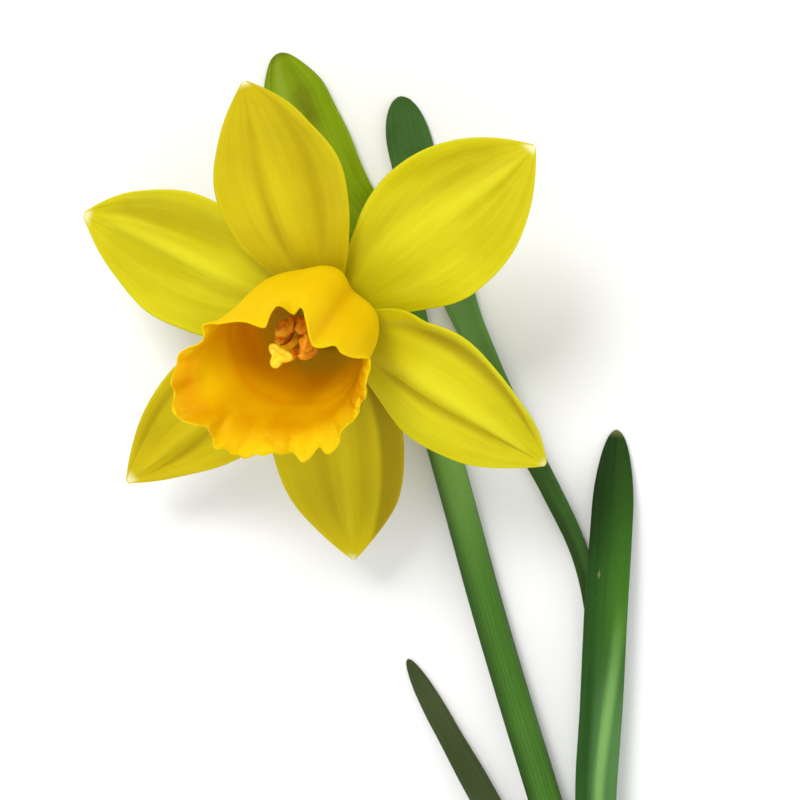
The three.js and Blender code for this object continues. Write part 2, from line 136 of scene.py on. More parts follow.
def node_of(kind, *ports, tree=None, output=0, **named):
    """A new node's output, in the tree of the fields that go into it. ports are its inputs in order.
    Names with a capital are inputs too, with _ for each space. The others are the node's settings."""
    fields = (value for value in (*ports, *named.values()) if isinstance(value, Field))
    node = (tree or next(fields).tree).nodes.new(kind)
    for label in filter(str.islower, named):
        setattr(node, label, named[label])
    for port, value in zip(node.inputs, ports):
        feed(port, value)
    for label, value in named.items():
        if not label.islower():
            feed(node.inputs[label.replace("_", " ")], value)
    return Field(node.outputs[output])


def calc(operation, *values):
    return node_of("ShaderNodeMath", *values, operation=operation)


def smooth(field, start, end):
    """0 before start, 1 after end, and an easy curve between."""
    return node_of("ShaderNodeMapRange", field, start, end, interpolation_type="SMOOTHSTEP")


def hump(field, middle, width):
    """1 in the middle, falling away smoothly on both sides."""
    off = (field - middle) / width
    return calc("EXPONENT", -(off * off))


def blend(low, high, share):
    return low + (high - low) * share


def vector(x, y, z=0.0):
    return node_of("ShaderNodeCombineXYZ", x, y, z)


def scaled(direction, length):
    return node_of("ShaderNodeVectorMath", direction, operation="SCALE", Scale=length)


def parts_of(field):
    first = node_of("ShaderNodeSeparateXYZ", field)
    return [Field(output) for output in first.socket.node.outputs]


def noise(place, scale, detail=2.0, roughness=0.5):
    return node_of("ShaderNodeTexNoise", Vector=place, Scale=scale, Detail=detail, Roughness=roughness)


print("smoothing, mixing, vectors and noise are ready")

# %% [markdown]
# ## Named inputs
#
# Every tree here, for geometry or for shading, is built in the script with its inputs named
# for what they are on a plant. Another runs a geometry tree on an object and takes away the
# result as a plain mesh.

# %% Trees with named inputs
def new_tree(name, gives=None, **takes):
    """A tree, its inputs as fields, and its way out. A tree that doesn't say what it gives is one
    for geometry, and takes a material too. An input has a default, or else a kind of socket."""
    kind = "Shader" if gives else "Geometry"
    if not gives:
        gives, takes["Material"] = {"Geometry": "Geometry"}, "Material"
    tree = bpy.data.node_groups.new(name, kind + "NodeTree")
    for in_out, sockets in (("OUTPUT", gives), ("INPUT", takes)):
        for label, what in sockets.items():
            has_default = not isinstance(what, str)
            kind = "NodeSocket" + (type(what).__name__.capitalize() if has_default else what)
            item = tree.interface.new_socket(label.replace("_", " "), in_out=in_out, socket_type=kind)
            if has_default:
                item.default_value = what
    entry, way_out = tree.nodes.new("NodeGroupInput"), tree.nodes.new("NodeGroupOutput")
    return tree, {socket.name: Field(socket) for socket in entry.outputs if socket.name}, way_out


def hand_out(way_out, **fields):
    for label, field in fields.items():
        feed(way_out.inputs[label], field)


def keep(geometry, name, field, domain="POINT", data_type="FLOAT"):
    """Stores a field on the geometry as a named attribute."""
    return node_of("GeometryNodeStoreNamedAttribute", data_type=data_type, domain=domain,
                   Geometry=geometry, Name=name, Value=field)


def keep_uv(geometry, along, across):
    return keep(geometry, "UVMap", vector(along, across), "CORNER", "FLOAT2")


def stored(tree, name, data_type="FLOAT"):
    return node_of("GeometryNodeInputNamedAttribute", tree=tree, output="Attribute",
                   data_type=data_type, Name=name)


def moved(geometry, **where):
    return node_of("GeometryNodeSetPosition", Geometry=geometry, **where)


def hand_over(way_out, geometry, material):
    """Ends a tree: instances become mesh, and the finish is put on."""
    real = node_of("GeometryNodeRealizeInstances", Geometry=geometry)
    hand_out(way_out, Geometry=node_of("GeometryNodeSetMaterial", Geometry=real, Material=material))


def grow(tree, name, start=None, **sizes):
    """Runs a tree on an object, and returns what it makes as a plain mesh, in millimetres."""
    given = {label.replace("_", " ").capitalize(): value for label, value in sizes.items()}
    holder = put(name, start or bpy.data.meshes.new(name))
    modifier = holder.modifiers.new("growth", "NODES")
    modifier.node_group = tree
    for item in tree.interface.items_tree:
        if item.in_out == "INPUT" and item.name in given:
            value = given[item.name]
            is_float = item.socket_type == "NodeSocketFloat"
            modifier[item.identifier] = float(value) if is_float else value
    return frozen(holder)


def frozen(holder):
    """What the object's modifiers make, as a plain mesh. The object goes."""
    graph = bpy.context.evaluated_depsgraph_get()
    mesh = bpy.data.meshes.new_from_object(
        holder.evaluated_get(graph), preserve_all_data_layers=True, depsgraph=graph)
    bpy.data.objects.remove(holder)
    return mesh


print("trees can be declared, grown and frozen")

# %% Numbers on a mesh, and a sheet's wall
WALL_STEPS = 24


def store(mesh, name, values):
    """Keeps a number or a vector for each point of a mesh."""
    kind, what = ("FLOAT_VECTOR", "vector") if values.shape[-1] == 3 else ("FLOAT", "value")
    data = mesh.attributes.new(name, kind, "POINT").data
    data.foreach_set(what, values.astype(np.float32).reshape(-1))
    return mesh


def read(data, what, size):
    values = np.empty(len(data) * size, np.float32)
    data.foreach_get(what, values)
    return values.reshape(-1, size)


def thickened(mesh, thickness, name):
    """Gives a sheet its wall. The sheet's "thick" attribute says what share of it each spot gets."""
    holder = put(name, mesh)
    level = np.rint(read(mesh.attributes["thick"].data, "value", 1)[:, 0] * WALL_STEPS).astype(int)
    full = holder.vertex_groups.new(name="thick")
    for step in range(WALL_STEPS + 1):
        full.add(np.flatnonzero(level == step).tolist(), step / WALL_STEPS, "REPLACE")
    wall = holder.modifiers.new("wall", "SOLIDIFY")
    wall.thickness, wall.offset, wall.vertex_group = thickness, 0, full.name
    return frozen(holder)


print("a wall's thickness has", WALL_STEPS + 1, "levels")

# %% [markdown]
# ## Finishes
#
# Petals, trumpet, leaves and bract are all built of the same things: veins that run side by side
# from foot to tip, streaks of deeper and paler colour along them, soft patches, and a skin of
# tiny cells that breaks up the shine. Each effect is a shader group with named inputs, so each
# finish sets its own strength. They read the piece's own UV map, where U runs from foot to tip
# and V from edge to edge, or Object coordinates, so nothing slides when the view moves.

# %% Shader group: parallel veins
def uv_of(tree):
    return parts_of(node_of("ShaderNodeUVMap", tree=tree, uv_map="UVMap"))[:2]


veins, takes, way_out = new_tree("parallel veins", {"Vein": "Float", "Streak": "Float"},
                                 Count=30.0, Waver=0.3, Streak_length=2.0)
along, across = uv_of(veins)
drift = noise(vector(along * 3, across * 5), 1.0) - 0.5
wave = calc("COSINE", (across * takes["Count"] + drift * takes["Waver"]) * tau)
streak = noise(vector(along * takes["Streak length"], across * takes["Count"] * 0.5), 1.0, 4.0, 0.62)
hand_out(way_out, Vein=(wave * 0.5 + 0.5) ** 3, Streak=smooth(streak, 0.32, 0.68))
print("veins:", len(veins.nodes), "nodes")

# %% Shader group: soft patches and a skin of cells
FLECKS_PER_METRE, SKIN_RELIEF = 2200.0, 0.00008


def object_place(tree):
    return node_of("ShaderNodeTexCoord", tree=tree, output="Object")


skin, takes, way_out = new_tree(
    "skin", {"Patch": "Float", "Fleck": "Float", "Normal": "Vector"},
    Patch_size=0.008, Cell_size=0.00016, Vein=0.0, Vein_height=0.4, Bump=0.3)
place = object_place(skin)
patch = noise(place, 1 / takes["Patch size"], 3.0)
cell = node_of("ShaderNodeTexVoronoi", output="Distance", Vector=place, Scale=1 / takes["Cell size"])
relief = takes["Vein"] * takes["Vein height"] - cell * 0.35 + patch * 0.5
hand_out(way_out, Patch=smooth(patch, 0.35, 0.65),
         Fleck=smooth(noise(place, FLECKS_PER_METRE, 1.0), 0.66, 0.74),
         Normal=node_of("ShaderNodeBump", Strength=takes["Bump"], Distance=SKIN_RELIEF, Height=relief))
print("skin:", len(skin.nodes), "nodes")

# %% Helpers for colours and materials
def srgb(red, green, blue):
    """A colour given as 0 to 255 on a screen, as the linear colour that shaders use."""
    return tuple(((v / 255 + 0.055) / 1.055) ** 2.4 if v > 10 else v / 3294.6
                 for v in (red, green, blue)) + (1,)


def tint(base, colour, share):
    """base, taken towards colour by a share that varies over the surface."""
    mix = share.tree.nodes.new("ShaderNodeMix")
    mix.data_type = "RGBA"
    for port, value in ((0, share), (6, base), (7, colour)):
        feed(mix.inputs[port], value)
    return Field(mix.outputs[2])


def painted(base, *coats):
    """Screen colours laid on each other in order. Each coat says how much of it shows where."""
    colour = srgb(*base)
    for coat, share in coats:
        colour = tint(colour, srgb(*coat), share)
    return colour


def group(tree, source, **values):
    first = node_of("ShaderNodeGroup", tree=tree, node_tree=source, **values)
    return {output.name: Field(output) for output in first.socket.node.outputs}


def attribute(tree, name):
    return node_of("ShaderNodeAttribute", tree=tree, attribute_name=name, output="Fac")


def start_material(name, **own):
    material = bpy.data.materials.new(name)
    material.use_nodes = True
    for label, value in own.items():
        shader_of(material)[label.replace("_", " ")].default_value = value
    return material, material.node_tree


def shader_of(material):
    return material.node_tree.nodes["Principled BSDF"].inputs


def end_material(material, colour, fine, glossiest, dullest):
    feed(shader_of(material)["Base Color"], colour)
    feed(shader_of(material)["Roughness"], blend(glossiest, dullest, fine["Patch"]))
    feed(shader_of(material)["Normal"], fine["Normal"])
    return material


print("a screen yellow (236, 223, 39) is", [round(v, 3) for v in srgb(236, 223, 39)])

# %% [markdown]
# ### Petal finish
#
# A daffodil's petal is a clear yellow, greenish where it joins the tube, with a tiny white point at
# its tip. The petal tree stores how far each spot stands above or below the plain surface as
# "relief", an edge that rolls down counting as below, and the colour follows that: a painted
# highlight on the ridges, and painted shade, a deeper gold, in the furrows and under rolled-down
# edges. The light that comes through a thin petal is a little subsurface.

# %% Petal finish
def petal_finish(name, plain, pale, gold_and_furrow_shade, foot, tip=(243, 236, 196)):
    material, tree = start_material(
        name, Specular_IOR_Level=0.1, Subsurface_Weight=0.3, Subsurface_Scale=0.0012,
        Subsurface_Radius=(1.0, 0.75, 0.1))
    along, across = uv_of(tree)
    vein = group(tree, veins, Count=22.0, Waver=0.5, Streak_length=1.2)
    fine = group(tree, skin, Patch_size=0.009, Cell_size=0.00014, Vein=vein["Streak"],
                 Vein_height=1.2, Bump=0.3)
    relief = attribute(tree, "relief")
    edge = calc("ABSOLUTE", across * 2 - 1)
    point = smooth(along + (fine["Patch"] - 0.5) * 0.03, 0.955, 0.995) * (1 - smooth(edge, 0.4, 1.0))
    colour = painted(
        plain,
        (pale, vein["Streak"] * 0.3 + fine["Patch"] * 0.25),
        (gold_and_furrow_shade, vein["Vein"] * 0.025),
        # painted highlight on the ridges, and painted shade in the furrows and under edges that roll down
        (pale, smooth(relief, 0.05, 0.5) * 0.6),
        (gold_and_furrow_shade, smooth(-relief, 0.06, 0.5) * 0.55),
        (foot, (1 - smooth(along, 0.05, 0.42)) * 0.75),
        (gold_and_furrow_shade, smooth(along, 0.5, 0.8) * 0.1),
        (pale, smooth(edge, 0.9, 1.0) * 0.15),
        (tip, point * 0.8))
    return end_material(material, colour, fine, 0.46, 0.6)


# Three tones of one petal: a bright one, a darker golden one for the top and inner left petals, and a
# darker olive copy with painted shade for the bottom petal, which lies in the trumpet's shadow.
BRIGHT_PETAL = petal_finish("petal, bright", (193, 184, 4), (226, 220, 42), (150, 126, 0), (188, 176, 4))
GOLDEN_PETAL = petal_finish("petal, golden", (184, 168, 3), (212, 197, 24), (140, 112, 0), (176, 152, 0))
SHADED_PETAL = petal_finish("petal, olive gold in painted shade", (196, 180, 4), (212, 197, 26), (112, 88, 0),
                            (126, 100, 0))
print("petal finishes:", [m.name for m in (BRIGHT_PETAL, GOLDEN_PETAL, SHADED_PETAL)])

# %% [markdown]
# ## Petals
#
# All six petals follow one rule: narrow where they join, full in the middle, a blunt point at the
# tip, a raised midrib, edges that lift or roll, and a few lengthwise creases of their own. That
# is work for Geometry Nodes: the tree below turns a flat grid into a petal, and each petal is
# grown from it with its own sizes. Modelling six by hand would lose the family likeness.

# %% The petal tree: its sizes and its outline
CREASES = range(1, 5)
CREASE_SIZES = {"at foot": 0.0, "at tip": 0.0, "width": 0.2, "height": 0.0}
PETAL_START, BASE_SHARE, OPENING_POWER, TIP_SHARE, PETAL_THINNING = 3.0, 0.3, 1.25, 0.03, 0.65

petal_tree, takes, way_out = new_tree(
    "petal", Length=30.0, Left=9.0, Right=9.0, Left_widest=0.5, Right_widest=0.5, Tip_fullness=2.1,
    Layer=0.0, Rise=0.0, Bend=0.0, Sweep=0.0, Cup=0.1, Twist=0.0, Left_curl=0.1, Right_curl=0.1,
    Frill=0.25, Frill_waves=3.0, Rows=84, Columns=64,
    **{f"Crease {n} {what}": default for n in CREASES for what, default in CREASE_SIZES.items()})
grid = node_of("GeometryNodeMeshGrid", Size_X=1.0, Size_Y=2.0,
               Vertices_X=takes["Rows"], Vertices_Y=takes["Columns"])
x, t, _ = parts_of(node_of("GeometryNodeInputPosition", tree=petal_tree))
s = x + 0.5
is_left = calc("GREATER_THAN", t, 0.0)


def half_width(side):
    widest = takes[f"{side} widest"]
    opening = calc("SINE", calc("MINIMUM", s / widest, 1.0) * (pi / 2)) ** OPENING_POWER
    closing = calc("MAXIMUM", (s - widest) / (1 - widest), 0.0) ** takes["Tip fullness"]
    return takes[side] * blend(BASE_SHARE, 1, opening) * (1 - closing * (1 - TIP_SHARE))


half = blend(half_width("Right"), half_width("Left"), is_left)
print("petal tree, outline:", len(petal_tree.nodes), "nodes")

# %% The petal tree: its relief
MIDRIB_WAVES, MIDRIB_HEIGHT, LEFT_FRILL_SHIFT = 1.3, 0.3, 0.37

out = calc("ABSOLUTE", t)
fade = smooth(s, 0.08, 0.3) * (1 - smooth(s, 0.75, 1.0))
curl = blend(takes["Right curl"], takes["Left curl"], is_left)
rolled = curl * half * smooth(out, 0.6, 1.0) * fade
midrib = calc("COSINE", t * (tau * MIDRIB_WAVES)) * (1 - out) * fade * MIDRIB_HEIGHT
frill = calc("SINE", (s * takes["Frill waves"] + is_left * LEFT_FRILL_SHIFT) * tau) * takes["Frill"]
frill = frill * out ** 5 * fade

relief = midrib * 0.6
creased = smooth(s, 0.04, 0.3) * (1 - smooth(s, 0.82, 0.99))
for n in CREASES:
    middle = blend(takes[f"Crease {n} at foot"], takes[f"Crease {n} at tip"], s)
    crease = takes[f"Crease {n} height"] * hump(t, middle, takes[f"Crease {n} width"])
    relief = relief + crease * creased

y = half * t - calc("SIGN", t) * rolled * 0.6
z = takes["Cup"] * half * t * t * smooth(s, 0.0, 0.5) + rolled + midrib * 0.4 + relief + frill
turn = takes["Twist"] * s
cosine, sine = calc("COSINE", turn), calc("SINE", turn)
spot = vector(
    PETAL_START + takes["Length"] * s,
    takes["Sweep"] * takes["Length"] * s * s + y * cosine - z * sine,
    takes["Layer"] + takes["Length"] * (takes["Rise"] * s + takes["Bend"] * s * s)
    + y * sine + z * cosine)

# relief, with edges that roll down counted in as painted shade, feeds the finish's painted highlight and
# shade
marked = keep(keep_uv(grid, s, t * 0.5 + 0.5), "relief", relief + calc("MINIMUM", rolled, 0.0))
thin = calc("MAXIMUM", smooth(out, 0.7, 1.0), smooth(s, 0.88, 1.0)) * PETAL_THINNING
hand_over(way_out, moved(keep(marked, "thick", 1 - thin), Position=spot), takes["Material"])
print("petal tree, whole:", len(petal_tree.nodes), "nodes")

# %% Putting a piece in the frame
MADE = {}


def add_piece(mesh, node, place, material=None):
    """Moves a millimetre mesh into the frame, names it after the CAD part it stands for and hides that
    part.
    """
    name = node + "_fine"
    mesh.transform(place)
    if material:
        mesh.materials.clear()
        mesh.materials.append(material)
    mesh.polygons.foreach_set("use_smooth", np.ones(len(mesh.polygons), bool))
    mesh.update()
    obj = put(name, mesh)
    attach(obj, "root")
    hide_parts(node)
    MADE[name] = sum(len(face.vertices) - 2 for face in mesh.polygons)
    print(f"{name}: {MADE[name]} triangles")


# %% The six petals
LAYERS = {"inner": 0.55, "outer": -0.95}
PETAL_THICKNESS = 0.45


def petal(node, azimuth, finish, length, left, right, creases, twist=0, **sizes):
    """creases are (at foot, at tip, width, height), across the petal from -1 to 1."""
    for n, crease in zip(CREASES, creases):
        sizes.update({f"Crease {n} {what}": value for what, value in zip(CREASE_SIZES, crease)})
    sheet = grow(petal_tree, node, length=length, left=left, right=right, twist=radians(twist),
                 layer=LAYERS[node.split("_")[0]], material=finish, **sizes)
    add_piece(thickened(sheet, PETAL_THICKNESS, node), node,
              IN_FLOWER @ Matrix.Rotation(radians(azimuth), 4, "Z"))


petal("inner_petal_top", 108.5, GOLDEN_PETAL, 29.5, 8.4, 11.3,
      [(-0.4, -0.62, 0.14, -0.26), (0.36, 0.1, 0.14, -0.26), (-0.12, -0.1, 0.2, 0.12),
       (0.6, 0.4, 0.2, 0.12)], right_widest=0.53, rise=0.06, bend=-0.18, left_curl=0.03)
petal("inner_petal_right", 330, BRIGHT_PETAL, 30.8, 12.7, 7.8,
      [(-0.5, -0.08, 0.12, -0.45), (0.56, 0.56, 0.1, -0.5), (0.12, 0.06, 0.22, 0.25),
       (-0.75, -0.5, 0.23, 0.15)], twist=4, left_widest=0.46, tip_fullness=1.95, rise=0.06, bend=-0.06,
      sweep=-0.06, cup=0.12, left_curl=0.22, right_curl=0.05, frill=0.2)
petal("inner_petal_left", 219, GOLDEN_PETAL, 34.2, 8, 8.9,
      [(-0.75, -0.68, 0.16, -0.25), (-0.3, 0.6, 0.13, -0.28), (-0.45, -0.05, 0.2, 0.2),
       (0.55, 0.8, 0.17, 0.2)], left_widest=0.38, right_widest=0.46, tip_fullness=1.8, rise=0.1,
      bend=0.04, cup=0.12, right_curl=0.15)
petal("outer_petal_right", 37.5, BRIGHT_PETAL, 31.4, 10.4, 9.1,
      [(0.4, -0.02, 0.14, 0.3), (0.14, -0.2, 0.13, -0.16), (1.0, 0.3, 0.12, 0.12),
       (0.78, 0.5, 0.3, -0.28)], left_widest=0.52, tip_fullness=2.4, rise=-0.12, bend=-0.1,
      sweep=0.04, cup=0.12, left_curl=0.08, right_curl=0.02)
petal("outer_petal_left", 160, BRIGHT_PETAL, 33.5, 10.4, 9.6,
      [(0.3, -0.22, 0.17, 0.28), (0.5, -0.02, 0.13, -0.18), (0.06, -0.42, 0.13, -0.1),
       (-0.65, -0.6, 0.3, -0.28)], left_widest=0.46, right_widest=0.48, tip_fullness=2.35, rise=-0.08,
      bend=0.04, sweep=0.02, left_curl=0.02, right_curl=0.05, frill=0.3)
petal("outer_petal_bottom", 271, SHADED_PETAL, 32.1, 6.4, 10.6,
      [(-0.05, -0.05, 0.1, 0.22), (0.45, 0.6, 0.12, -0.12), (-0.45, -0.3, 0.18, -0.1),
       (0.3, 0.2, 0.16, -0.1)], left_widest=0.48, right_widest=0.4, tip_fullness=2.55, rise=-0.08,
      bend=0.1, cup=0.08, left_curl=-0.3, right_curl=0.02, frill=0.2)

# %% [markdown]
# ## Trumpet
#
# The trumpet is one thin wall, pleated, that flares into an uneven lip with slits and ruffles.
# No short rule gives that lip, so it is a list of points, one for each place where the lip turns
# in or out, with a smooth curve through them. The wall between foot and lip is worked out in mesh
# code. Ruffles and fine crinkles that grow only near the lip are added on top.

# %% The trumpet's lip and a curve through it
LIP = [  # direction in degrees, distance from the axis and height, wherever the lip turns
    (0, 10.6, 15.3), (7, 10.6, 15.5), (12, 9.6, 17), (22, 9, 18.9), (30, 8.7, 18.9), (36, 8, 20.6),
    (43, 7.5, 21), (52, 8, 20.6), (61, 9, 19.8), (72, 8.8, 17), (79, 7.2, 16.2), (92, 8.4, 16.9),
    (99, 7.6, 17.4), (107, 6.2, 18.3), (125, 8, 18.3), (143, 9.9, 18.1), (153, 11.7, 17.6),
    (161, 11, 18.9), (173, 13.8, 19.5), (187, 14.1, 19.8), (199, 15.3, 20), (205, 14.7, 20.5),
    (211, 12.3, 22.1), (216, 11.2, 21.8), (222, 13, 20.7), (231, 12.8, 21.6), (240, 12.8, 19.6),
    (252, 11.6, 19), (263, 11.4, 17.6), (276, 12.4, 16.9), (288, 11.5, 17.6), (300, 12, 16.7),
    (312, 10.4, 17.4), (323, 10.8, 15.5), (330, 10.3, 15.1), (338, 10.6, 15.6), (350, 10.1, 15)]
WALL = [(0, 8.7), (18, 9.1), (45, 8.1), (65, 9.4), (98, 8.2), (165, 9.5), (240, 8.4), (330, 8)]


def ease(x, start, end):
    x = np.clip((x - start) / (end - start), 0, 1)
    return x * x * (3 - 2 * x)


def ring(points, column, turns):
    """A smooth curve through one column of the points, which go once round and start at 0 degrees."""
    degrees, values = np.array(points, float)[:, [0, column]].T
    degrees = np.concatenate([degrees[-1:] - 360, degrees, degrees[:2] + 360])
    values = np.concatenate([values[-1:], values, values[:2]])
    slope = (values[2:] - values[:-2]) / (degrees[2:] - degrees[:-2])
    place = turns % 1 * 360
    k = np.searchsorted(degrees, place, "right") - 1
    step = degrees[k + 1] - degrees[k]
    f = (place - degrees[k]) / step
    rise = values[k + 1] - values[k]
    start, end = slope[k - 1] * step, slope[k] * step
    return values[k] + f * (start + f * (3 * rise - 2 * start - end + f * (start + end - 2 * rise)))


print("the lip turns in", len(LIP), "places")

# %% The trumpet's wall
RUFFLES = [(186, 5), (201, 6), (214, 4), (243, 9), (262, 8), (279, 6), (297, 6), (315, 5), (330, 5),
           (350, 6)]  # direction and width in degrees
CORONA_START, FOOT_RADIUS, FOOT_SHARE, ASIDE = 1.6, 3.6, 0.07, 0.8
ASIDE_TOWARDS, LOW_TOWARDS, LEFT_TOWARDS = FACE_TOWARDS - pi / 2, radians(262), radians(190)
FIRST_BEND, LAST_BEND, LIP_FLATTENING = 0.52, 0.8, 14
RUFFLE_OUT, RUFFLE_UP, CRINKLE_OUT, CRINKLE_UP = 0.2, 1.0, 0.12, 0.38
ROWS, COLUMNS = 72, 360

s, turns = np.meshgrid(np.linspace(0, 1, ROWS), np.arange(COLUMNS) / COLUMNS, indexing="ij")
angle = turns * tau
low_side = ease(np.cos(angle - LOW_TOWARDS), -0.75, 0.2)  # the lower lip is frilled, the upper plain
left_side = ease(np.cos(angle - LEFT_TOWARDS), 0.2, 0.9)
foot = 1 - np.exp(-s / FOOT_SHARE)


def climb_from(start, sharp=0.02):
    """0 up to start, then a straight climb to 1."""
    climb = np.hypot(s - start, sharp) + s - start
    return climb / climb[-1:]


def rim(column):
    """The lip's notches fade a little way into the wall, where only its broad waves are left."""
    near = zip((-12, -6, 0, 6, 12), (1, 2, 3, 2, 1))
    broad = sum(ring(LIP, column, turns + degrees / 360) * weight for degrees, weight in near) / 9
    return broad + (ring(LIP, column, turns) - broad) * ease(s, 0.62, 1.0) ** 1.5


first_share = 0.58 + 0.3 * left_side
low_flare = first_share * climb_from(FIRST_BEND) + (1 - first_share) * climb_from(LAST_BEND)
flare = (1 - low_side) * s ** 3 + low_side * low_flare
straight = ring(WALL, 1, turns)
radius = FOOT_RADIUS + (straight - FOOT_RADIUS) * foot + (rim(1) - straight) * flare
height = CORONA_START + (rim(2) - CORONA_START) * s
height += low_side * LIP_FLATTENING * s ** 4 * (1 - s)  # the lip faces the way the flower does
print("the plain lip's lowest and highest point, mm:", np.round([height[-1].min(), height[-1].max()], 1))

# %% Ruffles and crinkles
ruffle = sum(np.exp(-((np.degrees(angle) - at) / wide) ** 2) for at, wide in RUFFLES) - 0.45
ruffle *= ease(s, 0.72, 1.0) ** 1.3 * low_side
crinkle = np.sin(19 * angle + 2.4 * np.sin(5 * angle)) * np.sin(8 * pi * s + 2.6 * np.sin(3 * angle + 1))
crinkle += 0.6 * np.sin(31 * angle + 3 * np.sin(4 * angle + 2))
radius += RUFFLE_OUT * ruffle
height += RUFFLE_UP * ruffle
height += CRINKLE_UP * crinkle * ease(s, 0.68, 0.95) * low_side
radius += CRINKLE_OUT * crinkle * ease(s, 0.8, 1.0) * low_side
aside = ASIDE * (1 - s) * foot
wall = np.stack([radius * np.cos(angle) + aside * cos(ASIDE_TOWARDS),
                 radius * np.sin(angle) + aside * sin(ASIDE_TOWARDS), height], -1)
print("trumpet mouth, mm:", [round(float(np.ptp(wall[-1, :, k])), 1) for k in (0, 1)])

# %% [markdown]
# ### Trumpet finish
#
# The trumpet is a deeper yellow than the petals, with orange gold patches and streaks inside its
# mouth and a paler throat: painted light for the light that comes through the wall. Other coats
# are painted shade and light: shade down a valley between two pleats outside, a thin dark line
# where the throat bends into the lip, shade inside on the right and near the left rim, light lower
# down on the left, and a painted highlight on the front of the lip. The UV map says how far up and
# how far round a spot is, and an attribute says whether it is on the inside. So each tone is a
# coat, laid on where those numbers say.

# %% Trumpet finish
def trumpet_finish():
    material, tree = start_material(
        "trumpet skin", Specular_IOR_Level=0.06, Subsurface_Weight=0.5, Subsurface_Scale=0.0018,
        Subsurface_Radius=(1.0, 0.65, 0.05))
    up, turn = uv_of(tree)
    vein = group(tree, veins, Count=72.0, Waver=0.8, Streak_length=1.4)
    fine = group(tree, skin, Patch_size=0.0045, Cell_size=0.00013, Vein=vein["Vein"],
                 Vein_height=0.15, Bump=0.3)
    deep, lip = attribute(tree, "inside"), smooth(up, 0.52, 0.7)
    # left, front and right say where round the inside the painted light and shade go
    left = deep * hump(turn, 0.54, 0.06)
    front = deep * hump(turn, 0.75, 0.12)
    right = deep * hump(turn, 0.92, 0.045)
    # shine: where the painted highlight shows, in soft patches near the lip's edge
    shine = (0.3 + 0.7 * smooth(fine["Patch"], 0.4, 0.7)) * smooth(up, 0.76, 0.92)
    colour = painted(
        (234, 188, 2),
        ((242, 200, 10), vein["Streak"] * 0.25 + fine["Patch"] * 0.3),
        ((222, 158, 0), vein["Vein"] * 0.03),
        # painted shade down the valley between two pleats, outside
        ((214, 156, 0), hump(turn, 0.132, 0.02) * (1 - deep) * 0.5),
        ((220, 174, 0), deep * (1 - smooth(up, 0.98, 1.02)) * 0.92),
        ((210, 142, 0), deep * (1 - fine["Patch"]) * lip * 0.45),
        ((214, 150, 0), deep * vein["Streak"] * lip * 0.3),
        # a painted highlight in soft patches on the front of the lip, inside
        ((252, 206, 16), front * shine * 0.6),
        # painted shade near the rim on the left inside, and painted light lower down on the left
        ((206, 140, 0), left * smooth(up, 0.76, 0.9) * 0.65),
        ((236, 200, 4), left * lip * (1 - smooth(up, 0.7, 0.86)) * 0.6),
        # painted shade inside on the right
        ((180, 108, 0), right * lip * 0.5),
        # painted light down the throat and deeper, for the light that comes through the wall
        ((238, 182, 0), deep * (1 - smooth(up, 0.5, 0.56)) * 0.95),
        ((232, 174, 4), deep * (1 - smooth(up, 0.15, 0.42)) * 0.95),
        # a thin line of painted shade where the throat bends into the lip
        ((196, 120, 0), deep * hump(up, 0.52, 0.04) * 0.3),
        ((150, 140, 10), (1 - smooth(up, 0.02, 0.2)) * 0.7))
    return end_material(material, colour, fine, 0.44, 0.58)


TRUMPET = trumpet_finish()
print("trumpet finish:", len(TRUMPET.node_tree.nodes), "nodes")

# %% The trumpet
def wrapped_mesh(name, points):
    """A mesh of rows by columns points, whose columns close on themselves, with a UV map."""
    rows, columns = points.shape[:2]
    i, j = np.meshgrid(np.arange(rows - 1), np.arange(columns), indexing="ij")
    corners = np.array([(i, j), (i + 1, j), (i + 1, j + 1), (i, j + 1)]).transpose(2, 3, 0, 1)
    faces = corners[..., 0] * columns + corners[..., 1] % columns
    mesh = bpy.data.meshes.new(name)
    mesh.from_pydata(points.reshape(-1, 3).tolist(), [], faces.reshape(-1, 4).tolist())
    layer = mesh.uv_layers.new(name="UVMap")
    layer.uv.foreach_set("vector", (corners / (rows - 1, columns)).astype(np.float32).reshape(-1))
    return mesh


CORONA_THICKNESS, EDGE_THINNING = 0.5, 0.6
corona = store(wrapped_mesh("corona", wall), "thick", 1 - EDGE_THINNING * ease(s, 0.75, 1))
corona = thickened(corona, CORONA_THICKNESS, "corona")
spots, normals = read(corona.vertices, "co", 3), read(corona.vertices, "normal", 3)
store(corona, "inside", (normals[:, :2] * -spots[:, :2]).sum(1) > 0)
add_piece(corona, "corona", IN_FLOWER, TRUMPET)

# %% [markdown]
# ## Stalks
#
# The stem, the flower's own stalk, the six filaments and the style are all rods along a path. One
# tree makes them all: a path goes in, is measured out evenly, and is swept with a ring of the
# stalk's radius. Faint ribs run along the real stem, so the tree can raise them, and it stores
# the UV map as it sweeps.

# %% The stalk tree
stalk_tree, takes, way_out = new_tree("stalk", Path="Geometry", Radius=1.0, Taper=1.0, Ribs=12.0,
                                      Rib_height=0.0, Stations=60, Sides=32)
line = node_of("GeometryNodeMeshToCurve", Mesh=takes["Path"])
evened = node_of("GeometryNodeResampleCurve", Curve=line, Count=takes["Stations"])
factor = node_of("GeometryNodeSplineParameter", tree=stalk_tree, output="Factor")
sized = node_of("GeometryNodeSetCurveRadius", Curve=keep(evened, "along", factor),
                Radius=takes["Radius"] * blend(1.0, takes["Taper"], factor))
circle = node_of("GeometryNodeCurvePrimitiveCircle", Resolution=takes["Sides"], Radius=1.0)
girth = node_of("GeometryNodeInputRadius", tree=stalk_tree)
swept = node_of("GeometryNodeCurveToMesh", Curve=sized, Profile_Curve=keep(circle, "around", factor),
                Scale=girth, Fill_Caps=True)
along, around = stored(stalk_tree, "along"), stored(stalk_tree, "around")
lift = calc("COSINE", around * takes["Ribs"] * tau) * takes["Rib height"]
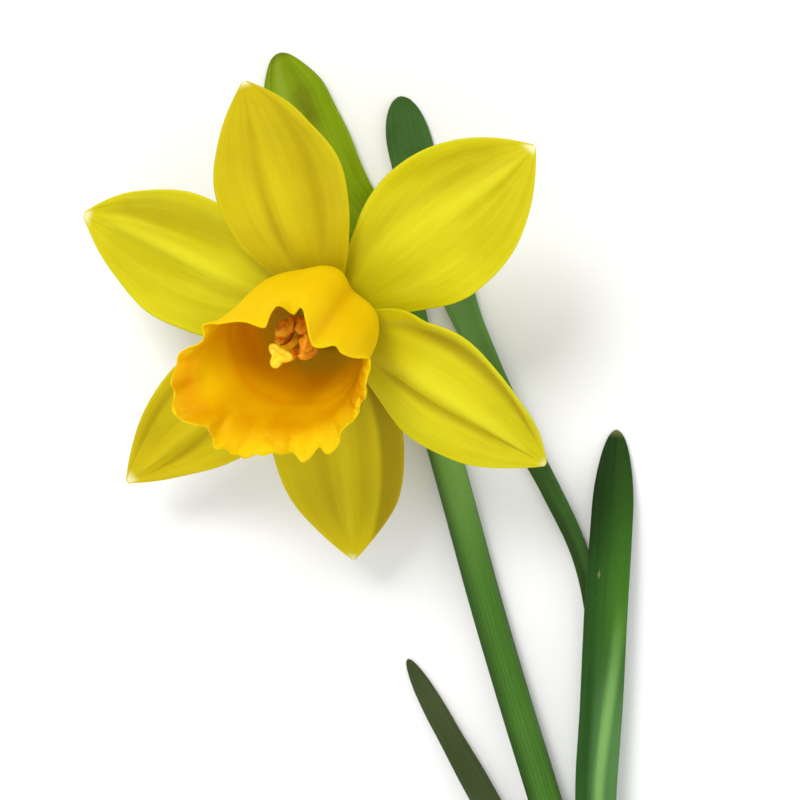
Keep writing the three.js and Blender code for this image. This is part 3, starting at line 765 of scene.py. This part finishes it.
ribbed = moved(swept, Offset=scaled(node_of("GeometryNodeInputNormal", tree=stalk_tree), lift))
hand_over(way_out, keep_uv(ribbed, along, around), takes["Material"])
print("stalk tree:", len(stalk_tree.nodes), "nodes")

# %% Smooth paths
def smooth_path(points, steps=16, power=0.0):
    """Points along a smooth curve through the given ones. power 0.5 keeps uneven steps from bulging."""
    p = np.array(points, float)
    p = np.vstack([2 * p[0] - p[1], p, 2 * p[-1] - p[-2]])
    made = []
    for a, b, c, d in zip(p[:-3], p[1:-2], p[2:-1], p[3:]):
        t1 = max(np.linalg.norm(b - a), 1e-6) ** power
        t2 = t1 + max(np.linalg.norm(c - b), 1e-6) ** power
        t3 = t2 + max(np.linalg.norm(d - c), 1e-6) ** power
        for t in np.linspace(t1, t2, steps, endpoint=False):
            middle = (t - t1) / (t2 - t1)
            ab, bc, cd = a + (b - a) * t / t1, b + (c - b) * middle, c + (d - c) * (t - t2) / (t3 - t2)
            abc, bcd = ab + (bc - ab) * t / t2, bc + (cd - bc) * (t - t1) / (t3 - t1)
            made.append(abc + (bcd - abc) * middle)
    return np.array(made + [p[-2]])


def path_mesh(points):
    mesh = bpy.data.meshes.new("path")
    mesh.from_pydata(points.tolist(), [(k, k + 1) for k in range(len(points) - 1)], [])
    return mesh


def stalk(node, points, slot, material, place, **sizes):
    mesh = grow(stalk_tree, node, path_mesh(smooth_path(points)), material=material, **sizes)
    add_piece(mesh, node, place)


print("a straight test path of 3 points becomes", len(smooth_path([(0, 0, 0), (1, 0, 0), (2, 0, 0)])))

# %% [markdown]
# ### Green finish
#
# Stem and leaves share a waxy skin with fine lines along it, and each has tones of its own: the
# leaf behind has a bluish bloom. Painted light and shade are added too: the stem has painted shade
# down the side away from the light and along its edges, and a stretch of painted light where the
# petals shade it; the front leaf, folded along its middle, has painted light on its right half and a
# painted highlight line; the leaf behind has painted shade on its lower left and a stretch of painted
# light, and the leaf on the left painted light on its lower left. One function holds what they share.
# The rest are coats that it adds only where they are asked for.

# %% Green finishes
CHANNEL_HIGHLIGHT, DRY_BROWN, STALK_SHADE = (124, 172, 92), (150, 146, 92), (30, 52, 16)


def keel_coats(along, across, deep, pale, lit_keel):
    """A folded leaf: a dark tip, painted light on its right half (a pale lower part, a highlight line
    along the channel and a lit side of the fold), and dry flecks.
    """
    right = 1 - across * 2
    lower = 1 - smooth(along, 0.5, 0.7)
    off_line = calc("ABSOLUTE", right - 0.12 - smooth(along, 0.4, 0.75) * 0.6)
    low_line = (1 - smooth(off_line, 0.05, 0.42)) * (1 - smooth(along, 0.66, 0.74))
    high = smooth(along, 0.58, 0.7) * (1 - smooth(along, 0.72, 1.0) * 0.8)
    fleck = calc("ABSOLUTE", along - 0.765) * 90 + calc("ABSOLUTE", across - 0.72) * 16
    spots = calc("MAXIMUM", smooth(along, 0.986, 1.0) * 0.4, (1 - smooth(fleck, 0.3, 0.9)) * 0.5)
    return [(deep, smooth(along, 0.7, 0.9) * 0.85),
            # painted light on the right half: a pale lower part, a highlight line and a lit side of the
            # fold
            (pale, smooth(right, -0.6, 0.0) * lower * 0.85),
            (CHANNEL_HIGHLIGHT, low_line * blend(0.5, 0.8, lower)),
            (lit_keel, smooth(right, -0.9, 0.7) * high * 0.56),
            (DRY_BROWN, spots)]


def green_finish(name, plain, deep, pale, count=30.0, rough=0.5, mottle=0.3, lit_keel=None, painted_light=None,
                 lower_left_shading=None, side_shade=None):
    """Optional coats, all painted light and shade: a lit right half with a highlight line for a folded
    leaf, a lower left side in painted light on one leaf and in painted shade on another, a stretch of
    painted light given as (where, how much, how wide), and painted shade down a round stalk's side
    away from the light and along its edges."""
    material, tree = start_material(name, Specular_IOR_Level=0.1)
    along, across = uv_of(tree)
    vein = group(tree, veins, Count=count, Waver=0.25, Streak_length=3.0)
    fine = group(tree, skin, Patch_size=0.012, Cell_size=0.00018, Vein=vein["Vein"],
                 Vein_height=0.5, Bump=0.34)
    coats = [(deep, vein["Streak"] * 0.3 + fine["Patch"] * mottle), (pale, vein["Vein"] * 0.12)]
    if lit_keel:
        coats += keel_coats(along, across, deep, pale, lit_keel)
    # painted light: a paler stretch where the stem or leaf lies in the petals' shadow
    if painted_light:
        where, how_much, how_wide = painted_light
        coats.append((pale, hump(along, where, how_wide) * how_much))
    # painted light and shade on the lower left side: shade on the leaf behind, light on the leaf on the
    # left
    if lower_left_shading:
        coats.append((lower_left_shading, (1 - smooth(along, 0.5, 0.72)) * smooth(across, 0.3, 0.8) * 0.8))
    if side_shade:
        # painted shade on the side away from the light and along both edges, so a round stalk looks round
        lit = calc("COSINE", (across - 0.86) * tau)
        edge = 1 - smooth(calc("COSINE", (across - 0.75) * tau), 0.0, 0.4)
        coats.append((STALK_SHADE, calc("MAXIMUM", 1 - smooth(lit, -0.6, 0.85), edge * 0.6) * side_shade))
    colour = painted(plain, *coats, (pale, fine["Fleck"] * 0.1))
    return end_material(material, colour, fine, rough - 0.06, rough + 0.1)


STEM_GREEN = green_finish("stem green", (68, 112, 36), (50, 90, 24), (116, 160, 72), count=26.0,
                          painted_light=(0.79, 1.0, 0.11), side_shade=0.8)
LEAF_GREEN = green_finish("leaf green", (42, 86, 28), (18, 42, 4), (82, 126, 68), lit_keel=(70, 126, 28))
LEAF_BLUE = green_finish("leaf blue green", (64, 102, 42), (40, 66, 20), (108, 152, 80), mottle=0.6,
                         painted_light=(0.75, 0.9, 0.075), lower_left_shading=(40, 66, 20))
LEAF_DULL = green_finish("leaf dull olive", (64, 76, 41), (46, 56, 27), (84, 94, 56), rough=0.55,
                         lower_left_shading=(64, 94, 54))
print("greens:", [m.name for m in (STEM_GREEN, LEAF_GREEN, LEAF_BLUE, LEAF_DULL)])

# %% Stem and pedicel
STEM_PATH = [
    (36.1, -100, 4.85), (34.6, -88, 4.85), (32.0, -76, 4.4), (28.8, -65, 3.7), (24.8, -52, 2.8),
    (20.7, -38, 2.3), (16.9, -24, 2.3), (13.3, -11, 2.3), (10.9, -1, 2.7), (9.8, 4.2, 3.3)]
PEDICEL_PATH = [(9.7, 4.6, 3.4), (9.1, 7.1, 3.9), (8.0, 8.8, 5.2), (6.6, 8.45, 6.9), (5.97, 7.65, 8.2)]
stalk("stem", STEM_PATH, "stem_green", STEM_GREEN, ON_TABLE,
      radius=2.24, ribs=9, rib_height=0.05, stations=220, sides=72)
stalk("pedicel", PEDICEL_PATH, "stem_green", STEM_GREEN, ON_TABLE,
      radius=1.27, ribs=6, rib_height=0.03, stations=60, sides=40)

# %% [markdown]
# ## Stamens and stigma
#
# Six stamens stand round the style. Each has a thin filament and a long anther, furrowed and
# slightly twisted, dusted with pollen. The pollen is a repeated thing on a surface, so a tree
# scatters the grains over each anther with a fixed seed and makes them real mesh at the end.

# %% The anther tree
anther_tree, takes, way_out = new_tree("anther", Length=5.2, Width=1.5, Depth=1.9, Lobes=0.16,
                                       Twist=1.2, Bow=0.35, Grains=26.0, Grain=0.06, Seed=1)
ball = node_of("GeometryNodeMeshUVSphere", tree=anther_tree, Segments=32, Rings=28, Radius=1.0)
x, y, z = parts_of(node_of("GeometryNodeInputPosition", tree=anther_tree))
swirl = calc("ARCTAN2", y, x)
blunt = 1 + (1 - z * z) * 0.18
ridge = 1 + takes["Lobes"] * calc("COSINE", (swirl + z * takes["Twist"]) * 4)
ragged = 1 + (noise(vector(x, y, z * 2.5), 2.2, 2.0) - 0.5) * 0.5
girth = ridge * blunt * ragged
spot = vector(x * girth * takes["Width"] * 0.5 + takes["Bow"] * (z * z - 0.5),
              y * girth * takes["Depth"] * 0.5, z * takes["Length"] * 0.5)
body = keep_uv(moved(ball, Position=spot), z * 0.5 + 0.5, swirl / tau + 0.5)
specks = node_of("GeometryNodeDistributePointsOnFaces", Mesh=body, Density=takes["Grains"],
                 Seed=takes["Seed"])
grain = node_of("GeometryNodeMeshIcoSphere", Radius=takes["Grain"], Subdivisions=1)
dusted = node_of("GeometryNodeInstanceOnPoints", Points=specks, Instance=grain)
joined = node_of("GeometryNodeJoinGeometry", dusted)
feed(joined.socket.node.inputs[0], body)
hand_over(way_out, joined, takes["Material"])
print("anther tree:", len(anther_tree.nodes), "nodes")

# %% Finishes for the flower's heart
def heart_finish(name, plain, pale, deep, rough, patch=0.0012):
    """Soft skin in three tones, with paler grains."""
    material, tree = start_material(name, Specular_IOR_Level=0.3)
    fine = group(tree, skin, Patch_size=patch, Cell_size=0.0001, Bump=0.45)
    colour = painted(plain, (deep, fine["Patch"] * 0.8), (pale, fine["Fleck"] * 0.7))
    return end_material(material, colour, fine, rough - 0.08, rough + 0.08)


POLLEN = heart_finish("pollen dust", (255, 194, 32), (255, 228, 108), (252, 144, 12), 0.82)
FILAMENT = heart_finish("filament skin", (226, 190, 60), (240, 216, 110), (204, 160, 40), 0.5, 0.002)
STIGMA = heart_finish("stigma skin", (254, 214, 34), (255, 230, 90), (240, 184, 14), 0.6, 0.0015)
print("heart finishes:", POLLEN.name, FILAMENT.name, STIGMA.name)

# %% Filaments, anthers and style
HEART_ASIDE, WHORL_STEP, GAP = 1.65, 0.8, 0.35
ANTHER_LENGTH, ANTHER_CENTRE, ANTHER_RADIUS, STIGMA_FOOT = 5, 9.4, 2.05, 13.5
FILAMENT_FOOT, FILAMENT_TOP = [(1.75, -1.4), (1.65, 2)], 1.75


def heart(radius, angle, height):
    """A place beside the style, which leans a little to one side as it climbs."""
    aside = HEART_ASIDE * float(ease(height, -2, 12))
    return (radius * cos(angle) + aside * cos(ASIDE_TOWARDS),
            radius * sin(angle) + aside * sin(ASIDE_TOWARDS), height)


for number in range(1, 7):
    azimuth, is_high = (number - 1) / 6 * tau, number % 2
    middle = ANTHER_CENTRE + (WHORL_STEP if is_high else -WHORL_STEP)
    top = (FILAMENT_TOP, middle - ANTHER_LENGTH / 2 - 0.1)
    path = [heart(radius, azimuth, height) for radius, height in (*FILAMENT_FOOT, top)]
    stalk(f"filament_{number}", path, "filament", FILAMENT, IN_FLOWER,
          radius=0.3, taper=0.75, stations=30, sides=14)
    mesh = grow(anther_tree, f"anther_{number}", seed=number, twist=0.6 + 0.35 * number,
                bow=0.3 if is_high else -0.25, material=POLLEN)
    stand = Matrix.Translation(heart(ANTHER_RADIUS, azimuth, middle)) @ Matrix.Rotation(azimuth, 4, "Z")
    add_piece(mesh, f"anther_{number}", IN_FLOWER @ stand)

stalk("style", [heart(0, 0, height) for height in (-12.15, -5, 4, STIGMA_FOOT - 0.1)],
      "stigma", STIGMA, IN_FLOWER, radius=0.5, taper=0.85, stations=60, sides=20)

# %% [markdown]
# ## Turned shapes: stigma, tube and ovary
#
# These three are rings stacked along an axis, with lobes: the stigma has three that open
# like a small trefoil, the tube has six faint ribs where the petals run down into it, and the
# ovary has three furrows where its chambers meet. A table of radii and heights with a
# lobed circle gives each, so one small function makes all three.

# %% A lobed turning
POLE_REACH = 0.002  # points nearer than this, at the poles, become one


def turned(name, profile, lobes, depth, lobe_from=0.0, lobe_to=1.0, columns=96, rows_each=6):
    """A closed skin from (radius, height) pairs. Lobes grow between the two shares of its length."""
    profile = smooth_path([(r, 0, h) for r, h in profile], rows_each, 0.5)
    share = np.linspace(0, 1, len(profile))
    swing = np.arange(columns) / columns * tau
    lobe = 1 + depth * ease(share, lobe_from, lobe_to)[:, None] * np.cos(lobes * swing)
    radius = np.maximum(profile[:, :1], 0) * lobe
    height = np.broadcast_to(profile[:, 2:], radius.shape)
    points = np.stack([radius * np.cos(swing), radius * np.sin(swing), height], -1)
    holder = put(name, wrapped_mesh(name, points))
    holder.modifiers.new("weld", "WELD").merge_threshold = POLE_REACH
    return frozen(holder)


stigma = turned("stigma", [(0, 0), (0.62, 0.02), (0.75, 0.5), (0.95, 1.1), (1.3, 1.8), (1.42, 2.15),
                           (1.2, 2.4), (0.7, 2.3), (0.25, 2.0), (0, 1.9)], 3, 0.36, 0.2, 0.65)
add_piece(stigma, "stigma", IN_FLOWER @ Matrix.Translation(heart(0, 0, STIGMA_FOOT)), STIGMA)

# %% Tube and ovary
TUBE_PROFILE, TUBE_WALL = [(1.9, -12.5), (1.95, -8), (2.4, -4.5), (2.8, -1.75), (2.8, 1.9)], 0.5
OVARY_PROFILE = [(0, -3.1), (1.25, -3.1), (2.1, -2.2), (2.45, -0.4), (2.35, 1.4), (1.9, 3.1), (0, 3.1)]
OVARY_MIDDLE = TUBE_PROFILE[0][1] - GAP + OVARY_PROFILE[0][1]


def tube_finish():
    """Green at its foot, yellow where the petals begin."""
    material, tree = start_material("tube skin", Specular_IOR_Level=0.4)
    fine = group(tree, skin, Patch_size=0.004, Bump=0.3)
    height = parts_of(object_place(tree))[2]
    colour = painted((112, 142, 40), ((206, 196, 34), smooth(height, 0.0145, 0.0225)),
                     ((150, 166, 44), fine["Patch"] * 0.4))
    return end_material(material, colour, fine, 0.42, 0.55)


inside = [(r - TUBE_WALL, h) for r, h in reversed(TUBE_PROFILE)]
tube = turned("tube", TUBE_PROFILE + inside + TUBE_PROFILE[:1], 6, 0.03)
add_piece(tube, "floral_tube", IN_FLOWER, tube_finish())
add_piece(turned("ovary", OVARY_PROFILE, 3, 0.06, 0.15, 0.4), "ovary",
          IN_FLOWER @ Matrix.Translation((0, 0, OVARY_MIDDLE)), STEM_GREEN)

# %% [markdown]
# ## Leaves, bract and skin
#
# A daffodil's leaf is a flat strap with a shallow channel and a rounded tip. It follows a path and
# its section is an arc that changes on the way, so it is grown by a tree too: the path
# carries at each point the leaf's width, how far the section bends, and the two directions
# that the section is drawn in. The papery bract is the same shape, thinner and more deeply bent.

# %% The blade tree
RIB_SHARPNESS = 60

blade_tree, takes, way_out = new_tree("blade", Path="Geometry", Columns=48, Ripple=0.0,
                                      Ripple_waves=5.0, Midrib=0.0)
line = node_of("GeometryNodeMeshToCurve", Mesh=takes["Path"])
short = node_of("GeometryNodeCurvePrimitiveLine", tree=blade_tree, Start=(0, 0, 0), End=(0, 0.001, 0))
section = node_of("GeometryNodeResampleCurve", Curve=short, Count=takes["Columns"])
factor = node_of("GeometryNodeSplineParameter", tree=blade_tree, output="Factor")
section = keep(section, "across", factor * 2 - 1)
swept = node_of("GeometryNodeCurveToMesh", Curve=line, Profile_Curve=section)


def vector_sum(first, second):
    return node_of("ShaderNodeVectorMath", first, second)


t, fold, along, width = (stored(blade_tree, name) for name in ("across", "fold", "along", "width"))
midrib, side, up = (stored(blade_tree, name, "FLOAT_VECTOR") for name in ("midrib", "side", "up"))
out = calc("ABSOLUTE", t)
bow = width * 0.5 / fold
ripple = calc("SINE", along * takes["Ripple waves"] * tau) * takes["Ripple"] * out ** 3
rib = calc("EXPONENT", t * t * -RIB_SHARPNESS) * takes["Midrib"]
sideways = bow * calc("SINE", fold * t)
upwards = bow * (1 - calc("COSINE", fold * t)) + ripple - rib
spot = vector_sum(midrib, vector_sum(scaled(side, sideways), scaled(up, upwards)))
mapped = keep_uv(moved(swept, Position=spot), along, t * 0.5 + 0.5)
thin = calc("MAXIMUM", smooth(out, 0.7, 1.0), smooth(along, 0.97, 1.0)) * EDGE_THINNING
hand_over(way_out, keep(mapped, "thick", 1 - thin), takes["Material"])
print("blade tree:", len(blade_tree.nodes), "nodes")

# %% A blade's path and what it carries
def keyed(keys, s):
    """A value that eases from key to key as s goes from 0 to 1."""
    place = np.clip(s, 0, 1) * (len(keys) - 1)
    first = np.minimum(place.astype(int), len(keys) - 2)
    start, end = np.take(keys, first), np.take(keys, first + 1)
    return start + (end - start) * ease(place - first, 0, 1)


def unit(vectors):
    return vectors / np.linalg.norm(vectors, axis=1)[:, None]


def blade(node, path, widths, fold, roll, point, slot, material, thickness, rows=150, **sizes):
    """point is the length in millimetres over which the tip rounds off."""
    fine = smooth_path(path, 40, 0.5)
    run = np.concatenate([[0], np.cumsum(np.linalg.norm(np.diff(fine, axis=0), axis=1))])
    length = run[-1]
    tip_rows = 1 - point / length * np.linspace(0.01, 0.3, 10) ** 2
    s = np.sort(np.concatenate([np.linspace(0, 1, rows), tip_rows]))
    place = np.stack([np.interp(s * length, run, line) for line in fine.T], -1)
    ahead = unit(np.gradient(place, s, axis=0))
    side = unit(np.cross(ahead, (0, 0, 1)))
    up = np.cross(side, ahead)
    turn = np.radians(keyed(roll, s))[:, None]
    shy = np.clip(1 - length * (1 - s) / point, 0, 1)
    facts = {"along": s, "fold": np.radians(keyed(fold, s)), "midrib": place,
             "width": keyed(widths, s) * (1 + (TIP_SHARE - 1) * (1 - np.sqrt(1 - shy ** 2))),
             "side": up * np.sin(turn) - side * np.cos(turn),
             "up": side * np.sin(turn) + up * np.cos(turn)}
    mesh = path_mesh(place)
    for name, values in facts.items():
        store(mesh, name, values)
    print(f"{node}: {length:.0f} mm long")
    sheet = grow(blade_tree, node, mesh, material=material, **sizes)
    add_piece(thickened(sheet, thickness, node), node, ON_TABLE)


# %% The three leaves
NEST, LEAF_THICKNESS, BUTT, LOW = 3.2, 0.7, 4.85, 0.4
blade("leaf_right",
      [(36.1 + NEST, -100, BUTT), (34.6 + NEST, -88, BUTT), (36.8, -77, 5), (35.9, -65, 4.8),
       (36.6, -52, 4.4), (37.3, -38, 4.2), (38, -29, 3.0), (38.6, -21, 1.2), (39, -14.9, LOW)],
      [4.2, 4.2, 5, 5.7, 5.9, 6, 6, 5.8, 5.4], [40, 40, 36, 32, 26, 26, 24, 24, 20],
      [-90, -90, -60, -12, 0, 0, 0, 0, 0], 12, "leaf_green", LEAF_GREEN, LEAF_THICKNESS, midrib=0.12)
blade("leaf_back",
      [(36.1, -100, BUTT - NEST), (34.9, -88, BUTT - NEST), (35.8, -77, 1.0), (36.6, -65, 0.7),
       (36.6, -52, 0.7), (36.1, -41, 0.7), (34, -32, 0.8), (29.9, -23, 1.2), (23.3, -10.7, 1.4),
       (17.9, 1.7, 1.1), (12.8, 16, 0.7), (10.6, 24, LOW), (9.1, 31.1, LOW)],
      [4.2, 4.2, 4.2, 4, 3.6, 2.8, 2.5, 2.9, 3.8, 4.0, 5.6, 6.4, 6.2],
      [40, 40, 30, 20, 20, 20, 25, 25, 25, 25, 24, 22, 20],
      [0, 0, 0, 0, 0, 0, -10, -20, -14, -6, 0, 0, 0],
      7, "leaf_green", LEAF_BLUE, LEAF_THICKNESS, rows=200)
blade("leaf_left",
      [(36.1 - NEST, -100, BUTT), (34.6 - NEST, -88, BUTT), (26.9, -77, 4.4), (20.7, -65.4, 2.6),
       (17, -58.8, 1.6), (13.2, -52, 0.8), (10.2, -46.5, LOW)],
      [4.2, 4.2, 4.4, 4.2, 3.8, 3.2, 2.2], [40, 40, 36, 30, 28, 26, 20], [90, 90, 50, 14, 6, 0, 0],
      5, "leaf_dull", LEAF_DULL, LEAF_THICKNESS, rows=110)

# %% [markdown]
# ### Papery bract
#
# The bract is a dry skin: fine brown lines, pale streaks, green where it is still alive and
# withered near its tip. It is grown by the blade tree, with a wider and deeper section and a
# slight ripple. The pale skin at the foot of the plant has the same finish in paler colours.

# %% Papery bract
def papery_finish(name, plain, pale, brown, green, grey=(150, 168, 72)):
    material, tree = start_material(name, Specular_IOR_Level=0.1)
    along, across = uv_of(tree)
    vein = group(tree, veins, Count=22.0, Waver=0.6, Streak_length=2.4)
    fine = group(tree, skin, Patch_size=0.007, Cell_size=0.0002, Vein=vein["Vein"],
                 Vein_height=0.8, Bump=0.5)
    left_tip = smooth(across, 0.6, 0.9) * smooth(along, 0.8, 0.95)
    alive = calc("MAXIMUM", left_tip * 0.6, (1 - smooth(along, 0.2, 0.5)) * 0.7)
    spot = hump(along, 0.8, 1 / 8) * hump(across, 0.42, 1 / 6)
    withered = calc("MAXIMUM", spot, smooth(along, 0.96, 1.0) * 0.5)
    colour = painted(
        plain,
        (green, alive),
        (grey, hump(across, 0.66, 0.09) * smooth(along, 0.5, 0.75) * 0.45),
        (pale, vein["Streak"] * 0.45),
        (brown, vein["Vein"] * fine["Patch"] * 0.2),
        (brown, withered * blend(0.35, 0.8, fine["Patch"])))
    return end_material(material, colour, fine, 0.55, 0.7)


BRACT = papery_finish("papery bract", (120, 148, 0), (148, 170, 26), (92, 76, 4), (92, 112, 4))
SKIN = papery_finish("pale skin", (196, 198, 146), (224, 222, 186), (150, 126, 74), (150, 166, 96))
BRACT_THICKNESS, BRACT_LOW = 0.4, 0.25
bract_line = [(10, 3.2), (9.1, 7.5), (6, 12), (1.2, 17.5), (-2, 24), (-4.9, 30), (-7.7, 37.1)]
blade("spathe", [(x, y, BRACT_LOW) for x, y in bract_line], [9, 9.2, 9, 9.3, 9.7, 9.4, 7.2],
      [88, 84, 60, 40, 32, 30, 24], [0, 0], 8, "spathe", BRACT, BRACT_THICKNESS,
      rows=110, ripple=0.12, ripple_waves=4)

# %% Basal skin
SKIN_LENGTH, SKIN_RADIUS, SKIN_THICKNESS, SKIN_ROWS, SKIN_COLUMNS = 13, 4.45, 0.7, 40, 120
butt, ahead = Vector(STEM_PATH[0]), (Vector(STEM_PATH[1]) - Vector(STEM_PATH[0])).normalized()
side = Vector((0, 0, 1)).cross(ahead).normalized()
up = ahead.cross(side)
share, turns = np.meshgrid(np.linspace(0, 1, SKIN_ROWS), np.arange(SKIN_COLUMNS) / SKIN_COLUMNS,
                           indexing="ij")
swing = turns * tau
reach = SKIN_LENGTH * share - (0.5 + 0.4 * np.sin(3 * swing) + 0.2 * np.sin(11 * swing)) * share ** 6
radius = SKIN_RADIUS + 0.08 * np.sin(17 * swing) * share
points = np.array(butt) + sum(amount[..., None] * np.array(way) for amount, way in (
    (reach, ahead), (radius * np.cos(swing), side), (radius * np.sin(swing), up)))
sheath = store(wrapped_mesh("skin", points), "thick", 1 - EDGE_THINNING * ease(share, 0.6, 1))
add_piece(thickened(sheath, SKIN_THICKNESS, "skin"), "basal_sheath", ON_TABLE, SKIN)

# %% [markdown]
# ## Table top and a last count
#
# The plain pale floor isn't part of the object. The last cell counts the triangles that were added.

# %% Floor
FLOOR_REACH, FLOOR_PATCHES = 2, 9.0
material, tree = start_material("pale table", Roughness=0.7)
feed(shader_of(material)["Base Color"],
     tint((0.93, 0.93, 0.93, 1), (0.9, 0.9, 0.895, 1), noise(object_place(tree), FLOOR_PATCHES)))
floor = put("floor", bpy.data.meshes.new("floor"))
corners = [(x * FLOOR_REACH, y * FLOOR_REACH, 0) for x, y in ((-1, -1), (1, -1), (1, 1), (-1, 1))]
floor.data.from_pydata(corners, [], [(0, 1, 2, 3)])
floor.data.materials.append(material)
print("floor:", 2 * FLOOR_REACH, "m wide")

# %% Triangles, and done
print("triangles added:", sum(MADE.values()))
